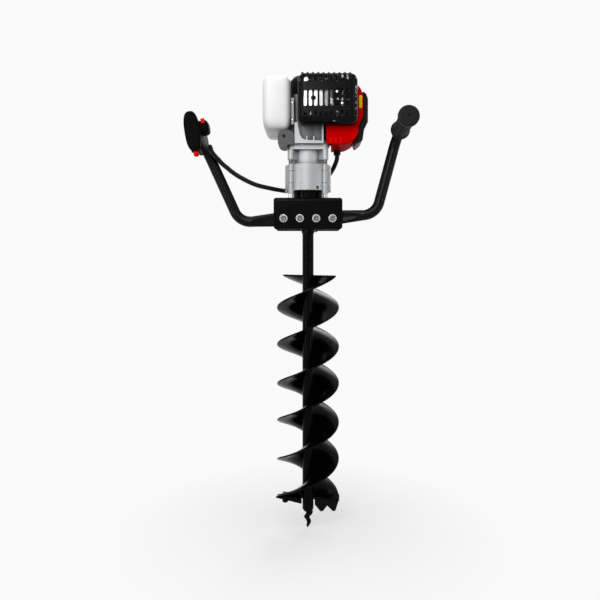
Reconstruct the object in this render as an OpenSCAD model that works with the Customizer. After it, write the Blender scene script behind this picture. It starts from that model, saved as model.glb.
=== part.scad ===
// Petrol earth auger: vertical-crank engine, planetary gearbox, handle frame and two-flight bit.
// Millimetres, +Z up, origin on the drill axis at the middle of the bit's cross pin.
// The operator stands on the -Y side and holds the two grips.

/* [Auger bit] */
// Outside diameter of the flights
bit_d = 150; // [120:5:200]
// Height of the flighted part of the tube
flight_len = 542; // [400:1:640]
// Rise of one flight in one turn
flight_lead = 184; // [150:2:220]
// Thickness of the flight plate along the axis
flight_t = 4; // [3:0.5:6]
// Angle of the first flight's upper end, from +X towards +Y
flight_start = -28; // [-180:1:180]
// Angle from the first flight to the second
flight_offset = 173.5; // [160:0.5:200]
// Outside diameter of the drill tube
tube_d = 27; // [25:0.5:34]
// From the cross pin down to the upper end of the flights
neck_len = 107; // [60:1:160]
// Bare tube below the flights
tube_tail = 25; // [20:1:60]
// Length of the screw point
point_len = 46; // [30:1:70]
// Rise of the screw point's thread in one turn
point_lead = 25; // [15:1:40]
// Thickness of the cutting blades
blade_t = 5; // [4:0.5:8]
// Diameter of the blade bolts
blade_bolt_d = 8; // [6:1:10]
// Outside diameter of the socket collar
collar_d = 34; // [32:0.5:44]
// Height of the socket collar
collar_h = 20; // [16:1:30]
// Diameter of the cross pin
pin_d = 8; // [6:0.5:10]

/* [Gearbox] */
// Diameter of the output shaft
shaft_d = 20; // [17:0.5:21]
// Outside diameter of the gearbox layers
box_d = 110; // [104:1:130]
// Height of the bottom cover
bottom_h = 17; // [16:0.5:26]
// Height of the ring gear case
ring_h = 28; // [24:0.5:40]
// Height of the top cover
cover_h = 16; // [15:0.5:30]
// Diameter of the through bolts
bolt_d = 8; // [6:0.5:10]
// Tooth module of the gears
gear_m = 1; // [0.9:0.05:1.1]
// Face width of the gears
gear_w = 12; // [8:0.5:14]
// Radial clearance of running fits
fit = 0.05; // [0.03:0.01:0.1]

/* [Handle frame] */
// Width of the channel bracket
bracket_w = 160; // [150:1:200]
// Depth of the channel bracket from front to back
bracket_depth = 112; // [108:1:130]
// Height of the channel bracket
bracket_h = 74; // [60:1:90]
// Height of the bracket's top face above the cross pin
bracket_top = 77; // [70:1:100]
// Sheet thickness of the bracket
bracket_t = 4; // [3:0.5:6]
// Spacing of the handle bolts
handle_bolt_pitch = 38; // [34:1:44]
// Diameter of the handle bolts
handle_bolt_d = 8; // [6:0.5:10]
// Outside diameter of the handle tubes
handle_d = 25; // [22:0.5:28]
// Wall of the handle tubes
handle_wall = 2; // [1.5:0.25:3]
// Height of the flattened arm in the bracket
arm_h = 32; // [28:0.5:36]
// Thickness of the flattened arm in the bracket
arm_t = 12; // [10:0.5:16]
// From the middle of an arm's bolts to its lower bend corner
arm_reach = 121.5; // [110:0.5:180]
// From the lower bend corner to the upper one
upright_len = 191; // [150:1:260]
// Centre-line radius of the bends
bend_r = 40; // [34:1:45]
// Lean of the uprights away from the vertical
upright_lean = 20; // [5:1:30]
// Angle of the upper bend towards the operator
grip_bend = 85.5; // [70:0.5:95]
// Upward slope of the right arm
right_rise = 5; // [-6:0.5:8]
// Upward slope of the left arm
left_rise = -4.5; // [-6:0.5:8]
// Length of tube inside the grips
grip_len = 108; // [95:1:130]
// Largest diameter of the right grip's end discs
grip_disc_d = 46; // [42:1:56]

/* [Engine] */
// Height of the clutch housing's neck
clutch_h = 34; // [32:1:60]
// Width of the clutch housing's square flange
flange_w = 94; // [90:1:110]
// Thickness of that flange
flange_t = 12; // [8:0.5:16]
// Height of the fan chamber
fan_h = 50; // [38:1:60]
// Outside diameter of the fan chamber
fan_d = 104; // [98:1:116]
// Height of the crankcase block over the fan chamber
case_h = 68; // [60:1:90]
// Width of the crankcase block
case_w = 72; // [64:1:76]
// Diameter of the cylinder's cooling fins
fin_d = 84; // [70:1:92]
// Number of cooling fins
fin_count = 9; // [5:1:11]
// From the crank axis to the top of the cylinder
cylinder_reach = 104; // [98:1:108]
// Wall of the moulded covers
cover_wall = 2.5; // [2:0.25:3.5]
// Height of the recoil starter housing
recoil_h = 46; // [42:1:60]
// Outside diameter of the recoil starter housing
recoil_d = 84; // [82:1:88]
// Width of the fuel tank
tank_w = 68; // [60:1:90]
// Depth of the fuel tank from front to back
tank_depth = 155; // [120:1:180]
// Height of the fuel tank
tank_h = 128; // [110:1:150]
// Wall of the fuel tank
tank_wall = 2.5; // [2:0.25:4]
// Width of the muffler guard
guard_w = 132; // [120:1:150]
// Height of the muffler guard
guard_h = 113; // [100:1:125]
// Depth of the muffler guard
guard_depth = 34; // [30:1:45]
// Number of slots in one row of the guard
slot_count = 9; // [5:1:9]
// Width of the guard's slots
slot_w = 7; // [4:0.5:8]

/* [Hidden] */
$fn = 48;
eps = 0.01;
gap = 0.3;

// Heights of the stack, from the cross pin up
z_spacer = bracket_top;
spacer_h = 18;
z_box = z_spacer + spacer_h;
z_ring = z_box + bottom_h;
z_cover = z_ring + ring_h;
z_clutch = z_cover + cover_h;
z_flange = z_clutch + clutch_h;
z_fan = z_flange + flange_t;
z_case = z_fan + fan_h;
z_recoil = z_case + case_h;
z_cyl = z_case + case_h / 2;

// Bit
z_flight_top = -neck_len;
z_flight_end = z_flight_top - flight_len;
z_tube_end = z_flight_end - tube_tail;
flight_turn = 360 * flight_len / flight_lead;
flight_wedge = 360 * flight_t / flight_lead;
flight_gap = 0.05;
flight_angles = [flight_start, flight_start + flight_offset];
blade_slope = 20;
blade_gap = 0.1;
blade_bolt_r = 0.36 * bit_d;
blade_lap = 20;
lip_slope = 68;
pin_len = collar_d + 14;
pin_turn = 17;
collar_top = 14;
collar_cone = 9;
seat = 0.02;

// Planetary gear set: the ring stands still, the carrier turns the bit
sun_teeth = 15;
planet_teeth = 30;
ring_teeth = 75;
planet_count = 3;
pressure = 20;
backlash = 0.12;
planet_r = gear_m * (sun_teeth + planet_teeth) / 2;
planet_pin_d = 8;
carrier_t = 5;
carrier_d = 2 * planet_r + planet_pin_d + 8;
z_carrier = z_ring + 1;
z_gear = z_carrier + carrier_t + 1;
sun_shaft_d = 15;
bearing_w = 11;
out_bearing_d = shaft_d + 22;
in_bearing_d = sun_shaft_d + 20;
seal_h = bottom_h - bearing_w - 2;
seal_d = shaft_d + 12;
bolt_circle = box_d + 2;
boss_d = bolt_d + 6;
foot_drop = 8;
boss_step = 0.6;
drum_d = 66;
drum_wall = 3;
drum_gap = 4;
shoe_gap = 0.6;
crank_d = 12;
crank_bore = crank_d + 2 * fit;
bore_fn = 64;

// Handles, as seen from the bracket
handle_bolt_z = 28.5;
handle_bolt_x = [-1.5, -0.5, 0.5, 1.5] * handle_bolt_pitch;
arm_mid_x = handle_bolt_pitch;
arm_y = -bracket_depth / 2 + bracket_t + arm_t / 2;
arm_inner = handle_bolt_pitch / 2 + 11;
arm_flat = bracket_w / 2 - arm_mid_x + 2;
arm_taper = 28;
lower_tangent = bend_r * tan((90 - upright_lean) / 2);
upper_tangent = bend_r * tan(grip_bend / 2);
arm_round = arm_reach - lower_tangent;
upright_straight = upright_len - lower_tangent - upper_tangent;
nut_h = 7;
grip_wall = 4.5;

// Throttle grip, in the grip's own frame: a along the tube towards the operator, z up
case_r = 16.5;
case_half_h = 30;
case_start = 4;
case_end = case_start + grip_len + 6;
trigger_a = 38;
trigger_z = -23;
trigger_w = 11;
trigger_swing = 9;
lever_a = grip_len - 12;
lever_z = 23;
lever_swing = 7;
side_gap = 0.75;
hinge_d = 4;
switch_a = 88;
switch_travel = 6;
button_a = 105;
button_d = 12;
button_travel = 4;

// Throttle cable, from the throttle case round the back of the gearbox to the shroud
cable_d = 11;
cable_sides = 10;
cable_route = [
    [-221, -86, 183], [-219, -78, 178], [-214, -69, 171], [-207, -60, 164], [-200, -51, 156],
    [-189, -43, 147], [-175, -34, 136], [-156, -22, 125], [-126, -6, 112], [-97, 10, 106],
    [-74, 26, 103], [-57, 42, 102], [-38, 60, 103], [-14, 72, 107], [10, 74, 114],
    [32, 66, 124], [48, 54, 137], [59, 42, 151], [66, 32, 164], [70, 26, 175],
    [71, 24, 181], [71, 24, 187]];

// Engine covers
shroud_x = 42;
shroud_end = 127;
shroud_front = -62;
shroud_back = 54;
shroud_floor = 198;
shroud_top = shroud_floor + 150;
guard_x = -24;
guard_z = 244;
guard_r = 18;
slot_pitch = 11.7;
slot_first = guard_x + 15;
tank_x = -107;
tank_y = -60;
tank_z = 232;
tank_r = 16;
cap_d = 42;
cap_h = 16;
cap_at = [tank_x + tank_w / 2 - 4, tank_y + tank_depth - 42];
neck_d = 34;
neck_h = 8;
filter_front = 92;
filter_depth = 38;
filter_w = 84;
filter_x = fan_d / 2 + 13;
carb_x = fan_d / 2 - 4;
carb_body = [34, 40, 34];
carb_clear = 2;
choke_ear = 7;
choke_pin_d = 4;
choke_pivot = [filter_x - filter_w / 2 - choke_ear, filter_front + 2, z_cyl - 12];
pulley_r = 34;
pulley_h = 12;
starter_x = pulley_r;
rope_d = 4;
starter_z = z_recoil + recoil_h / 2 + 2;

// Shared shapes

module ring(od, id, h, z = 0) {
    translate([0, 0, z])
        difference() {
            cylinder(d = od, h = h, $fn = bore_fn);
            translate([0, 0, -1])
                cylinder(d = id, h = h + 2, $fn = bore_fn);
        }
}

// Flat shape with round corners, centred
module round_rect(w, d, r) {
    square([w - 2 * r, d], center = true);
    square([w, d - 2 * r], center = true);
    for (x = [-1, 1], y = [-1, 1])
        translate([x * (w / 2 - r), y * (d / 2 - r)])
            circle(r);
}

// Slot shape along x or y, with half-round ends
module stadium(w, h) {
    r = min(w, h) / 2;
    square([w > h ? w - h : w, w > h ? h : h - w], center = true);
    for (side = [-1, 1])
        translate(side * (w > h ? [w / 2 - r, 0] : [0, h / 2 - r]))
            circle(r);
}

// Closed skin over a list of rings that all have as many points
module loft(rings) {
    n = len(rings);
    m = len(rings[0]);
    walls = [for (i = [0:n - 2], k = [0:m - 1])
        let (a = i * m + k, b = i * m + (k + 1) % m)
        each [[a, b + m, b], [a, a + m, b + m]]];
    ends = [for (k = [1:m - 2])
        each [[0, k, k + 1], [(n - 1) * m, (n - 1) * m + k + 1, (n - 1) * m + k]]];
    polyhedron([for (r = rings) each r], concat(walls, ends));
}

module hex(across, h) {
    cylinder(d = across / cos(30), h = h, $fn = 6);
}

// Box with all edges round
module soft_box(size, r) {
    hull()
        for (x = [r, size[0] - r], y = [r, size[1] - r], z = [r, size[2] - r])
            translate([x, y, z])
                sphere(r, $fn = 24);
}

module four_corners(r, start = 45) {
    for (i = [0:3])
        rotate([0, 0, start + 90 * i])
            translate([r, 0, 0])
                children();
}

// Auger bit

// Moves to the lower end of a flight: x outward, y along the flight, z square to the blade's top face
module at_blade(angle) {
    rotate([0, 0, angle - flight_turn + flight_wedge / 2])
        translate([0, 0, z_flight_end - blade_gap])
            rotate([blade_slope, 0, 0])
                children();
}

blade_bolt_y = 11;
blade_seat = 6;

module blade_bolt_hole() {
    translate([blade_bolt_r, blade_bolt_y, -30])
        cylinder(d = blade_bolt_d + 2 * gap, h = 60);
    translate([blade_bolt_r, blade_bolt_y, blade_seat])
        cylinder(d = 2 * blade_bolt_d + 2, h = 14);
}

module flight(angle) {
    half = flight_wedge / 2;
    inner = tube_d / 2 + flight_gap;
    outer = bit_d / 2;
    steps = ceil(flight_turn / 6);
    color("#141414")
        difference() {
            loft([for (i = [0:steps])
                let (a = angle - flight_turn * (1 - i / steps), z = z_flight_end + flight_len * i / steps)
                [[inner * cos(a - half), inner * sin(a - half), z],
                    [outer * cos(a - half), outer * sin(a - half), z],
                    [outer * cos(a + half), outer * sin(a + half), z],
                    [inner * cos(a + half), inner * sin(a + half), z]]]);
            at_blade(angle)
                blade_bolt_hole();
        }
}

module flight_one() {
    flight(flight_angles[0]);
}

module flight_two() {
    flight(flight_angles[1]);
}

module pin_bore() {
    rotate([90, 0, -pin_turn])
        cylinder(d = pin_d + 2 * fit, h = 2 * collar_d, center = true, $fn = bore_fn);
}

module auger_tube() {
    color("#161616")
        difference() {
            ring(tube_d, shaft_d + 2 * fit, collar_top - z_tube_end, z_tube_end);
            pin_bore();
        }
}

module bit_collar() {
    color("#1b1b1b")
        difference() {
            translate([0, 0, collar_top - collar_h]) {
                cylinder(d1 = tube_d + 1, d2 = collar_d, h = collar_cone);
                translate([0, 0, collar_cone])
                    cylinder(d = collar_d, h = collar_h - collar_cone);
            }
            translate([0, 0, collar_top - collar_h - 1])
                cylinder(d = tube_d + 2 * seat, h = collar_h + 2, $fn = bore_fn);
            pin_bore();
        }
}

// Bent plate: a back that laps under the flight and a steep lip that leads into the soil
blade_inner = tube_d / 2 + 2;
blade_outer = bit_d / 2 + 1;
toothed_lip = [
    [blade_inner + 1, -14], [blade_inner + 15, -29], [blade_inner + 21, -29],
    [blade_outer - 29, -16], [blade_outer - 15, -28], [blade_outer - 9, -27]];
plain_lip = [[blade_inner + 1, -15]];

module cutting_blade(lip) {
    translate([0, 0, -blade_t])
        linear_extrude(blade_t)
            polygon([[blade_inner + 6, blade_lap], [blade_inner, -1], [blade_outer, -1],
                [blade_outer, blade_lap - 4], [blade_outer - 4, blade_lap]]);
    rotate([lip_slope - blade_slope, 0, 0])
        translate([0, 0, -blade_t])
            linear_extrude(blade_t)
                polygon(concat([[blade_inner + 1, 0]], lip, [[blade_outer - 1, -3], [blade_outer - 1, 0]]));
}

module cutting_blades() {
    color("#202020")
        for (i = [0, 1])
            at_blade(flight_angles[i])
                difference() {
                    cutting_blade(i == 0 ? toothed_lip : plain_lip);
                    blade_bolt_hole();
                }
}

module blade_bolts() {
    color("#2a2a2a")
        for (angle = flight_angles)
            at_blade(angle)
                translate([blade_bolt_r, blade_bolt_y, 0]) {
                    translate([0, 0, blade_seat])
                        hex(1.6 * blade_bolt_d, 0.65 * blade_bolt_d);
                    translate([0, 0, -blade_t - nut_h - 2])
                        cylinder(d = blade_bolt_d, h = blade_t + nut_h + 2 + blade_seat + 1);
                    translate([0, 0, -blade_t - nut_h])
                        hex(1.6 * blade_bolt_d, nut_h);
                }
}

// Screw point: an eccentric circle that turns and tapers to the tip
point_turn = 180;

module drill_point() {
    lobe_r = 0.34 * tube_d;
    lobe_x = 0.15 * tube_d;
    tip = 0.06;
    steps = 40;
    sides = 12;
    color("#1b1b1b") {
        loft([for (i = [0:steps])
            let (t = i / steps, s = tip + (1 - tip) * sqrt(t), a = point_turn + 360 * point_len * t / point_lead)
            [for (k = [0:sides - 1])
                let (b = a + 360 * k / sides)
                [s * (lobe_x * cos(a) + lobe_r * cos(b)), s * (lobe_x * sin(a) + lobe_r * sin(b)),
                    z_tube_end - point_len * (1 - t)]]]);
        translate([0, 0, z_tube_end - 0.12 * point_len])
            cylinder(d1 = 0.7 * tube_d, d2 = tube_d - 1, h = 0.12 * point_len);
    }
}

module cross_pin() {
    color("silver")
        rotate([90, 0, -pin_turn])
            difference() {
                union() {
                    cylinder(d = pin_d, h = pin_len, center = true, $fn = bore_fn);
                    translate([0, 0, pin_len / 2 - 3])
                        cylinder(d = 1.5 * pin_d, h = 3);
                }
                translate([0, 0, -pin_len / 2 + 4])
                    rotate([0, 90, 0])
                        cylinder(d = 3, h = 2 * pin_d, center = true);
            }
}

// Spring clip: a straight leg through the pin and a hooked leg round it
module pin_clip() {
    wire = 2.4;
    leg = 26;
    color("silver")
        rotate([90, 0, -pin_turn])
            translate([0, 0, -pin_len / 2 + 4])
                rotate([0, 90, 0]) {
                    translate([0, 0, -leg / 2])
                        cylinder(d = wire, h = leg);
                    translate([0, pin_d / 2 + wire, leg / 2])
                        rotate([0, 90, 0])
                            rotate([0, 0, 90])
                                rotate_extrude(angle = 180)
                                    translate([pin_d / 2 + wire, 0])
                                        circle(d = wire);
                    translate([0, pin_d + 2 * wire, -leg / 4])
                        cylinder(d = wire, h = 0.75 * leg);
                }
}

// Gearbox

function gear_inv(rb, r) =
    let (t = r > rb ? sqrt(pow(r / rb, 2) - 1) * 180 / PI : 0)
    t - atan(t * PI / 180);

// Points of a gear's outline: three on each flank, thinned at the pitch circle
function gear_outline(teeth, add, ded, thin) =
    let (rp = gear_m * teeth / 2)
    let (rb = rp * cos(pressure))
    let (half = 90 / teeth - thin / 2 / rp * 180 / PI)
    let (radii = [rp - ded * gear_m, rp, rp + add * gear_m])
    [for (k = [0:teeth - 1])
        for (side = [-1, 1])
            for (i = side < 0 ? [0:2] : [2:-1:0])
                let (a = k * 360 / teeth + side * (half - gear_inv(rb, radii[i]) + gear_inv(rb, rp)))
                radii[i] * [cos(a), sin(a)]];

gear_tip = 0.85;
gear_root = 1.15;

module output_shaft() {
    shaft_tail = 45;
    color("#b8b8b8")
        difference() {
            union() {
                translate([0, 0, -shaft_tail])
                    cylinder(d = shaft_d, h = z_carrier + shaft_tail + eps, $fn = bore_fn);
                translate([0, 0, z_carrier])
                    cylinder(d = carrier_d, h = carrier_t);
            }
            pin_bore();
            at_planets()
                translate([0, 0, z_carrier - 1])
                    cylinder(d = planet_pin_d + 2 * seat, h = carrier_t + 2);
        }
}

module at_planets() {
    for (i = [0:planet_count - 1])
        at_planet(i)
            children();
}

module at_planet(i) {
    rotate([0, 0, i * 360 / planet_count])
        translate([planet_r, 0, 0])
            children();
}

module planet_pins() {
    color("silver")
        at_planets()
            translate([0, 0, z_carrier])
                cylinder(d = planet_pin_d, h = carrier_t + 1 + gear_w + 1, $fn = bore_fn);
}

module planet(i) {
    color("#9a9a9a")
        at_planet(i)
            translate([0, 0, z_gear])
                difference() {
                    rotate([0, 0, 180 / planet_teeth])
                        linear_extrude(gear_w)
                            polygon(gear_outline(planet_teeth, gear_tip, gear_root, backlash));
                    translate([0, 0, -1])
                        cylinder(d = planet_pin_d + 2 * fit, h = gear_w + 2, $fn = bore_fn);
                }
}

module planet_one() {
    planet(0);
}

module planet_two() {
    planet(1);
}

module planet_three() {
    planet(2);
}

z_drum = z_clutch + drum_gap;
drum_h = clutch_h - 2 * drum_gap;
drum_floor = 4;

module sun_shaft() {
    color("#a8a8a8") {
        translate([0, 0, z_gear])
            linear_extrude(gear_w + eps)
                polygon(gear_outline(sun_teeth, gear_tip, gear_root, backlash));
        translate([0, 0, z_gear + gear_w])
            cylinder(d = sun_shaft_d, h = z_drum - z_gear - gear_w + eps, $fn = bore_fn);
        translate([0, 0, z_drum])
            cylinder(d = drum_d, h = drum_floor);
        ring(drum_d, drum_d - 2 * drum_wall, drum_h - drum_floor + eps, z_drum + drum_floor - eps);
    }
}

// One layer of the gearbox: a round body with four bolt bosses
module box_layer(z, h, boss_from = boss_step) {
    difference() {
        union() {
            translate([0, 0, z])
                cylinder(d = box_d, h = h);
            four_corners(bolt_circle / 2)
                translate([0, 0, z + boss_from])
                    cylinder(d = boss_d, h = h - boss_from - boss_step);
        }
        four_corners(bolt_circle / 2)
            translate([0, 0, z - foot_drop - 1])
                cylinder(d = bolt_d + 2 * gap, h = h + foot_drop + 2);
        children();
    }
}

module ring_gear_case() {
    color("#c2c2c2")
        box_layer(z_ring, ring_h)
            translate([0, 0, z_ring - 1])
                rotate([0, 0, 180 / ring_teeth])
                    linear_extrude(ring_h + 2)
                        polygon(gear_outline(ring_teeth, gear_root, gear_tip, -backlash));
}

module gearbox_bottom() {
    level_hole_d = 7;
    color("#bdbdbd")
        box_layer(z_box, bottom_h, -foot_drop) {
            translate([0, 0, z_box - 1])
                cylinder(d = seal_d + 2 * seat, h = bottom_h + 2, $fn = bore_fn);
            translate([0, 0, z_ring - bearing_w])
                cylinder(d = out_bearing_d + 2 * seat, h = bearing_w + 1, $fn = bore_fn);
            rotate([0, 0, -66])
                translate([box_d / 2 - 6, 0, z_box + bottom_h / 3])
                    rotate([0, 90, 0])
                        cylinder(d = level_hole_d, h = 10);
        }
}

module gearbox_top() {
    shoulder = 2;
    color("#c6c6c6")
        box_layer(z_cover, cover_h) {
            translate([0, 0, z_cover - 1])
                cylinder(d = in_bearing_d + 2 * seat, h = shoulder + bearing_w + 1, $fn = bore_fn);
            translate([0, 0, z_cover])
                cylinder(d = sun_shaft_d + 4, h = cover_h + 1);
        }
}

module output_bearing() {
    color("#d8d8d8")
        ring(out_bearing_d, shaft_d + 2 * fit, bearing_w, z_ring - bearing_w);
}

module input_bearing() {
    color("#d8d8d8")
        ring(in_bearing_d, sun_shaft_d + 2 * fit, bearing_w, z_cover + 2);
}

module shaft_seal() {
    color("#3a2a20")
        ring(seal_d, shaft_d + 2 * fit, seal_h, z_box);
}

module gearbox_bolts() {
    head_h = 0.7 * bolt_d;
    color("#d0d0d0")
        four_corners(bolt_circle / 2)
            translate([0, 0, bracket_top - bracket_t - head_h]) {
                hex(1.6 * bolt_d, head_h);
                cylinder(d = bolt_d, h = z_clutch - bracket_top + bracket_t + head_h - 2);
            }
}

module jam_nuts() {
    color("#d6d6d6")
        four_corners(bolt_circle / 2)
            translate([0, 0, bracket_top])
                difference() {
                    hex(1.6 * bolt_d, spacer_h - foot_drop);
                    translate([0, 0, -1])
                        cylinder(d = bolt_d + 2 * seat, h = spacer_h);
                }
}

module mounting_spacer() {
    spacer_d = 73;
    color("#1d1d1d")
        ring(spacer_d, shaft_d + 10, spacer_h, z_spacer);
}

// Handle frame

// Channel section with bent corners, open below
module channel_section(depth, h, r) {
    translate([0, -h / 2])
        round_rect(depth, h, r);
    translate([-depth / 2, -h])
        square([depth, h / 2]);
}

module bracket() {
    outer_r = 2 * bracket_t;
    hole_d = shaft_d + 10;
    corner_r = 7;
    color("#121212")
        difference() {
            intersection() {
                translate([0, 0, bracket_top])
                    rotate([90, 0, 90])
                        linear_extrude(bracket_w, center = true)
                            difference() {
                                channel_section(bracket_depth, bracket_h, outer_r);
                                translate([0, -bracket_t])
                                    channel_section(bracket_depth - 2 * bracket_t, bracket_h, bracket_t);
                            }
                translate([0, 0, bracket_top - bracket_h / 2])
                    rotate([90, 0, 0])
                        linear_extrude(2 * bracket_depth, center = true)
                            round_rect(bracket_w, bracket_h, corner_r);
            }
            translate([0, 0, bracket_top - 2 * bracket_t])
                cylinder(d = hole_d, h = 3 * bracket_t, $fn = bore_fn);
            four_corners(bolt_circle / 2)
                translate([0, 0, bracket_top - 2 * bracket_t])
                    cylinder(d = bolt_d + 2 * gap, h = 3 * bracket_t);
            at_handle_bolts(-bracket_depth / 2 - 1)
                cylinder(d = handle_bolt_d + 2 * gap, h = 2 * bracket_t);
        }
}

// Moves to each handle bolt's axis at a given y, with z pointing away from the operator
module at_handle_bolts(y) {
    for (x = handle_bolt_x)
        translate([x, y, handle_bolt_z])
            rotate([-90, 0, 0])
                children();
}

module past_elbow(angle) {
    translate([bend_r * (1 - cos(angle)), 0, bend_r * sin(angle)])
        rotate([0, angle, 0])
            children();
}

// Frame of the right arm at the middle of its bolts: z outward along the arm, x up, y to the operator
module arm_frame(rise) {
    translate([arm_mid_x, arm_y, handle_bolt_z])
        rotate([0, -rise, 0])
            rotate([180, 0, 0])
                rotate([0, 90, 0])
                    children();
}

module upright_frame() {
    translate([0, 0, arm_round])
        past_elbow(90 - upright_lean)
            children();
}

// Frame at the end of the upper bend: z along the grip to the operator
module grip_frame() {
    upright_frame()
        translate([0, 0, upright_straight])
            rotate([0, 0, 90])
                past_elbow(grip_bend)
                    children();
}

// Stations along the arm, each with its place, its two cross axes, and the section's height and thickness
lower_bend = 90 - upright_lean;
up_dir = [sin(lower_bend), 0, cos(lower_bend)];
up_side = [cos(lower_bend), 0, -sin(lower_bend)];
to_operator = [0, 1, 0];
upright_foot = [bend_r * (1 - cos(lower_bend)), 0, arm_round + bend_r * sin(lower_bend)];
upright_head = upright_foot + upright_straight * up_dir;
grip_dir = sin(grip_bend) * to_operator + cos(grip_bend) * up_dir;
grip_side = cos(grip_bend) * to_operator - sin(grip_bend) * up_dir;
grip_foot = upright_head + bend_r * (1 - cos(grip_bend)) * to_operator + bend_r * sin(grip_bend) * up_dir;
bend_steps = 9;
taper_steps = 4;

function handle_stations(d, h, t, over) = concat(
    [[[0, 0, -arm_inner - over], [1, 0, 0], to_operator, h, t]],
    [for (i = [0:taper_steps])
        let (f = i / taper_steps)
        [[0, 0, arm_flat + f * arm_taper], [1, 0, 0], to_operator, h + f * (d - h), t + f * (d - t)]],
    [for (i = [0:bend_steps])
        let (a = lower_bend * i / bend_steps)
        [[bend_r * (1 - cos(a)), 0, arm_round + bend_r * sin(a)], [cos(a), 0, -sin(a)], to_operator, d, d]],
    [for (i = [0:bend_steps])
        let (a = grip_bend * i / bend_steps)
        [upright_head + bend_r * (1 - cos(a)) * to_operator + bend_r * sin(a) * up_dir,
            up_side, cos(a) * to_operator - sin(a) * up_dir, d, d]],
    [[grip_foot + (grip_len + over) * grip_dir, up_side, grip_side, d, d]]);

// Round or flattened ring at one station
function handle_ring(at, sides) =
    [for (k = [0:sides - 1])
        let (a = 360 * (k + 0.5) / sides, flat = (at[3] - at[4]) / 2, c = cos(a))
        at[0] + (flat * sign(c) + at[4] / 2 * c) * at[1] + at[4] / 2 * sin(a) * at[2]];

module handle_run(d, h, t, over, sides) {
    loft([for (at = handle_stations(d, h, t, over)) handle_ring(at, sides)]);
}

module handle(rise) {
    inner = handle_d - 2 * handle_wall;
    difference() {
        arm_frame(rise)
            difference() {
                handle_run(handle_d, arm_h, arm_t, 0, 24);
                handle_run(inner, arm_h - 2 * handle_wall, arm_t - 2 * handle_wall, 1, 12);
            }
        at_handle_bolts(-bracket_depth / 2)
            cylinder(d = handle_bolt_d + 2 * gap, h = 2 * bracket_t + 2 * arm_t);
    }
}

module right_handle() {
    color("#161616")
        handle(right_rise);
}

module left_handle() {
    color("#161616")
        mirror([1, 0, 0])
            handle(left_rise);
}

module handle_bolts() {
    washer_t = 1.6;
    head_h = 0.65 * handle_bolt_d;
    shank = bracket_t + arm_t + nut_h + 2;
    color("#d9d9d9")
        at_handle_bolts(-bracket_depth / 2) {
            translate([0, 0, -washer_t])
                cylinder(d = 2.3 * handle_bolt_d, h = washer_t);
            translate([0, 0, -washer_t - head_h])
                hex(1.65 * handle_bolt_d, head_h + eps);
            translate([0, 0, -eps])
                cylinder(d = handle_bolt_d, h = shank + eps);
        }
}

module handle_nuts() {
    color("#cfcfcf")
        at_handle_bolts(-bracket_depth / 2 + bracket_t + arm_t)
            difference() {
                hex(1.65 * handle_bolt_d, nut_h);
                translate([0, 0, -1])
                    cylinder(d = handle_bolt_d + 2 * seat, h = nut_h + 2);
            }
}

module right_grip() {
    bore_r = handle_d / 2 + fit;
    body_r = handle_d / 2 + grip_wall;
    disc_r = grip_disc_d / 2;
    end = grip_len + 9;
    dimple_r = 3.5;
    color("#1c1c1c")
        arm_frame(right_rise)
            grip_frame()
                rotate_extrude($fn = bore_fn)
                    polygon([
                        [bore_r, 1], [disc_r - 2, 1], [disc_r - 1, 2], [disc_r - 1, 6], [body_r, 11],
                        [body_r + 0.8, 0.5 * grip_len], [body_r, grip_len - 8], [disc_r, grip_len - 2],
                        [disc_r, end - 3], [disc_r - 3, end], [dimple_r, end], [dimple_r - 1, end - 3], [0, end - 3],
                        [0, grip_len + 0.2], [bore_r, grip_len + 0.2]]);
}

// Throttle grip

// Frame of the throttle case: x inboard, y along the tube to the operator, z up
module throttle_frame() {
    mirror([1, 0, 0])
        arm_frame(left_rise)
            grip_frame()
                multmatrix([[0, 0, -1, 0], [-1, 0, 0, 0], [0, 1, 0, 0], [0, 0, 0, 1]])
                    rotate([0, case_roll, 0])
                        children();
}

case_roll = 15;
boss_r = 9;
boss_drop = 43;
pod_r = 8;
stop_r = 9;
stop_half_h = 43;
half_slot = trigger_w / 2 + side_gap;
knuckle_r = 6;

module throttle_shell() {
    reach = case_half_h - case_r;
    difference() {
        union() {
            hull()
                for (a = [case_start + case_r, case_end - case_r], v = [-reach, reach])
                    translate([0, a, v])
                        sphere(case_r, $fn = 24);
            hull()
                for (a = [switch_a - 12, switch_a + 16]) {
                    for (v = [4, 20])
                        translate([12, a, v])
                            sphere(pod_r, $fn = 16);
                    for (v = [6, 15])
                        translate([27, a, v])
                            sphere(pod_r, $fn = 16);
                }
            hull()
                for (x = [-1, 1] * (case_r - stop_r), v = [-1, 1] * (stop_half_h - stop_r))
                    translate([x, case_end - stop_r, v])
                        sphere(stop_r, $fn = 24);
            translate([0, button_a, -boss_drop])
                cylinder(r = boss_r, h = boss_drop - handle_d / 2);
        }
        translate([0, -20, 0])
            rotate([-90, 0, 0])
                cylinder(d = handle_d + 2 * fit, h = grip_len + 20.2, $fn = bore_fn);
        translate([-half_slot, trigger_a - knuckle_r - side_gap, -80])
            cube([2 * half_slot, 63, 80 + trigger_z + knuckle_r + side_gap]);
        translate([-half_slot, lever_a - 65, lever_z - knuckle_r - side_gap])
            cube([2 * half_slot, 65 + knuckle_r + side_gap, 60]);
        translate([0, button_a, -boss_drop - 1])
            cylinder(d = button_d + 2 * fit, h = 11, $fn = bore_fn);
        translate([22 - switch_w / 2 - side_gap, switch_a - switch_len / 2 - side_gap, switch_base - side_gap])
            cube([switch_w + 2 * side_gap, switch_len + switch_travel + 2 * side_gap, 30]);
    }
}

switch_w = 8;
switch_len = 10;
switch_base = 18;

module throttle_half(side) {
    difference() {
        throttle_frame()
            intersection() {
                throttle_shell();
                translate([side > 0 ? 0 : -80, -40, -80])
                    cube([80, 240, 160]);
            }
        cable_boot(gap);
    }
}

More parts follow.
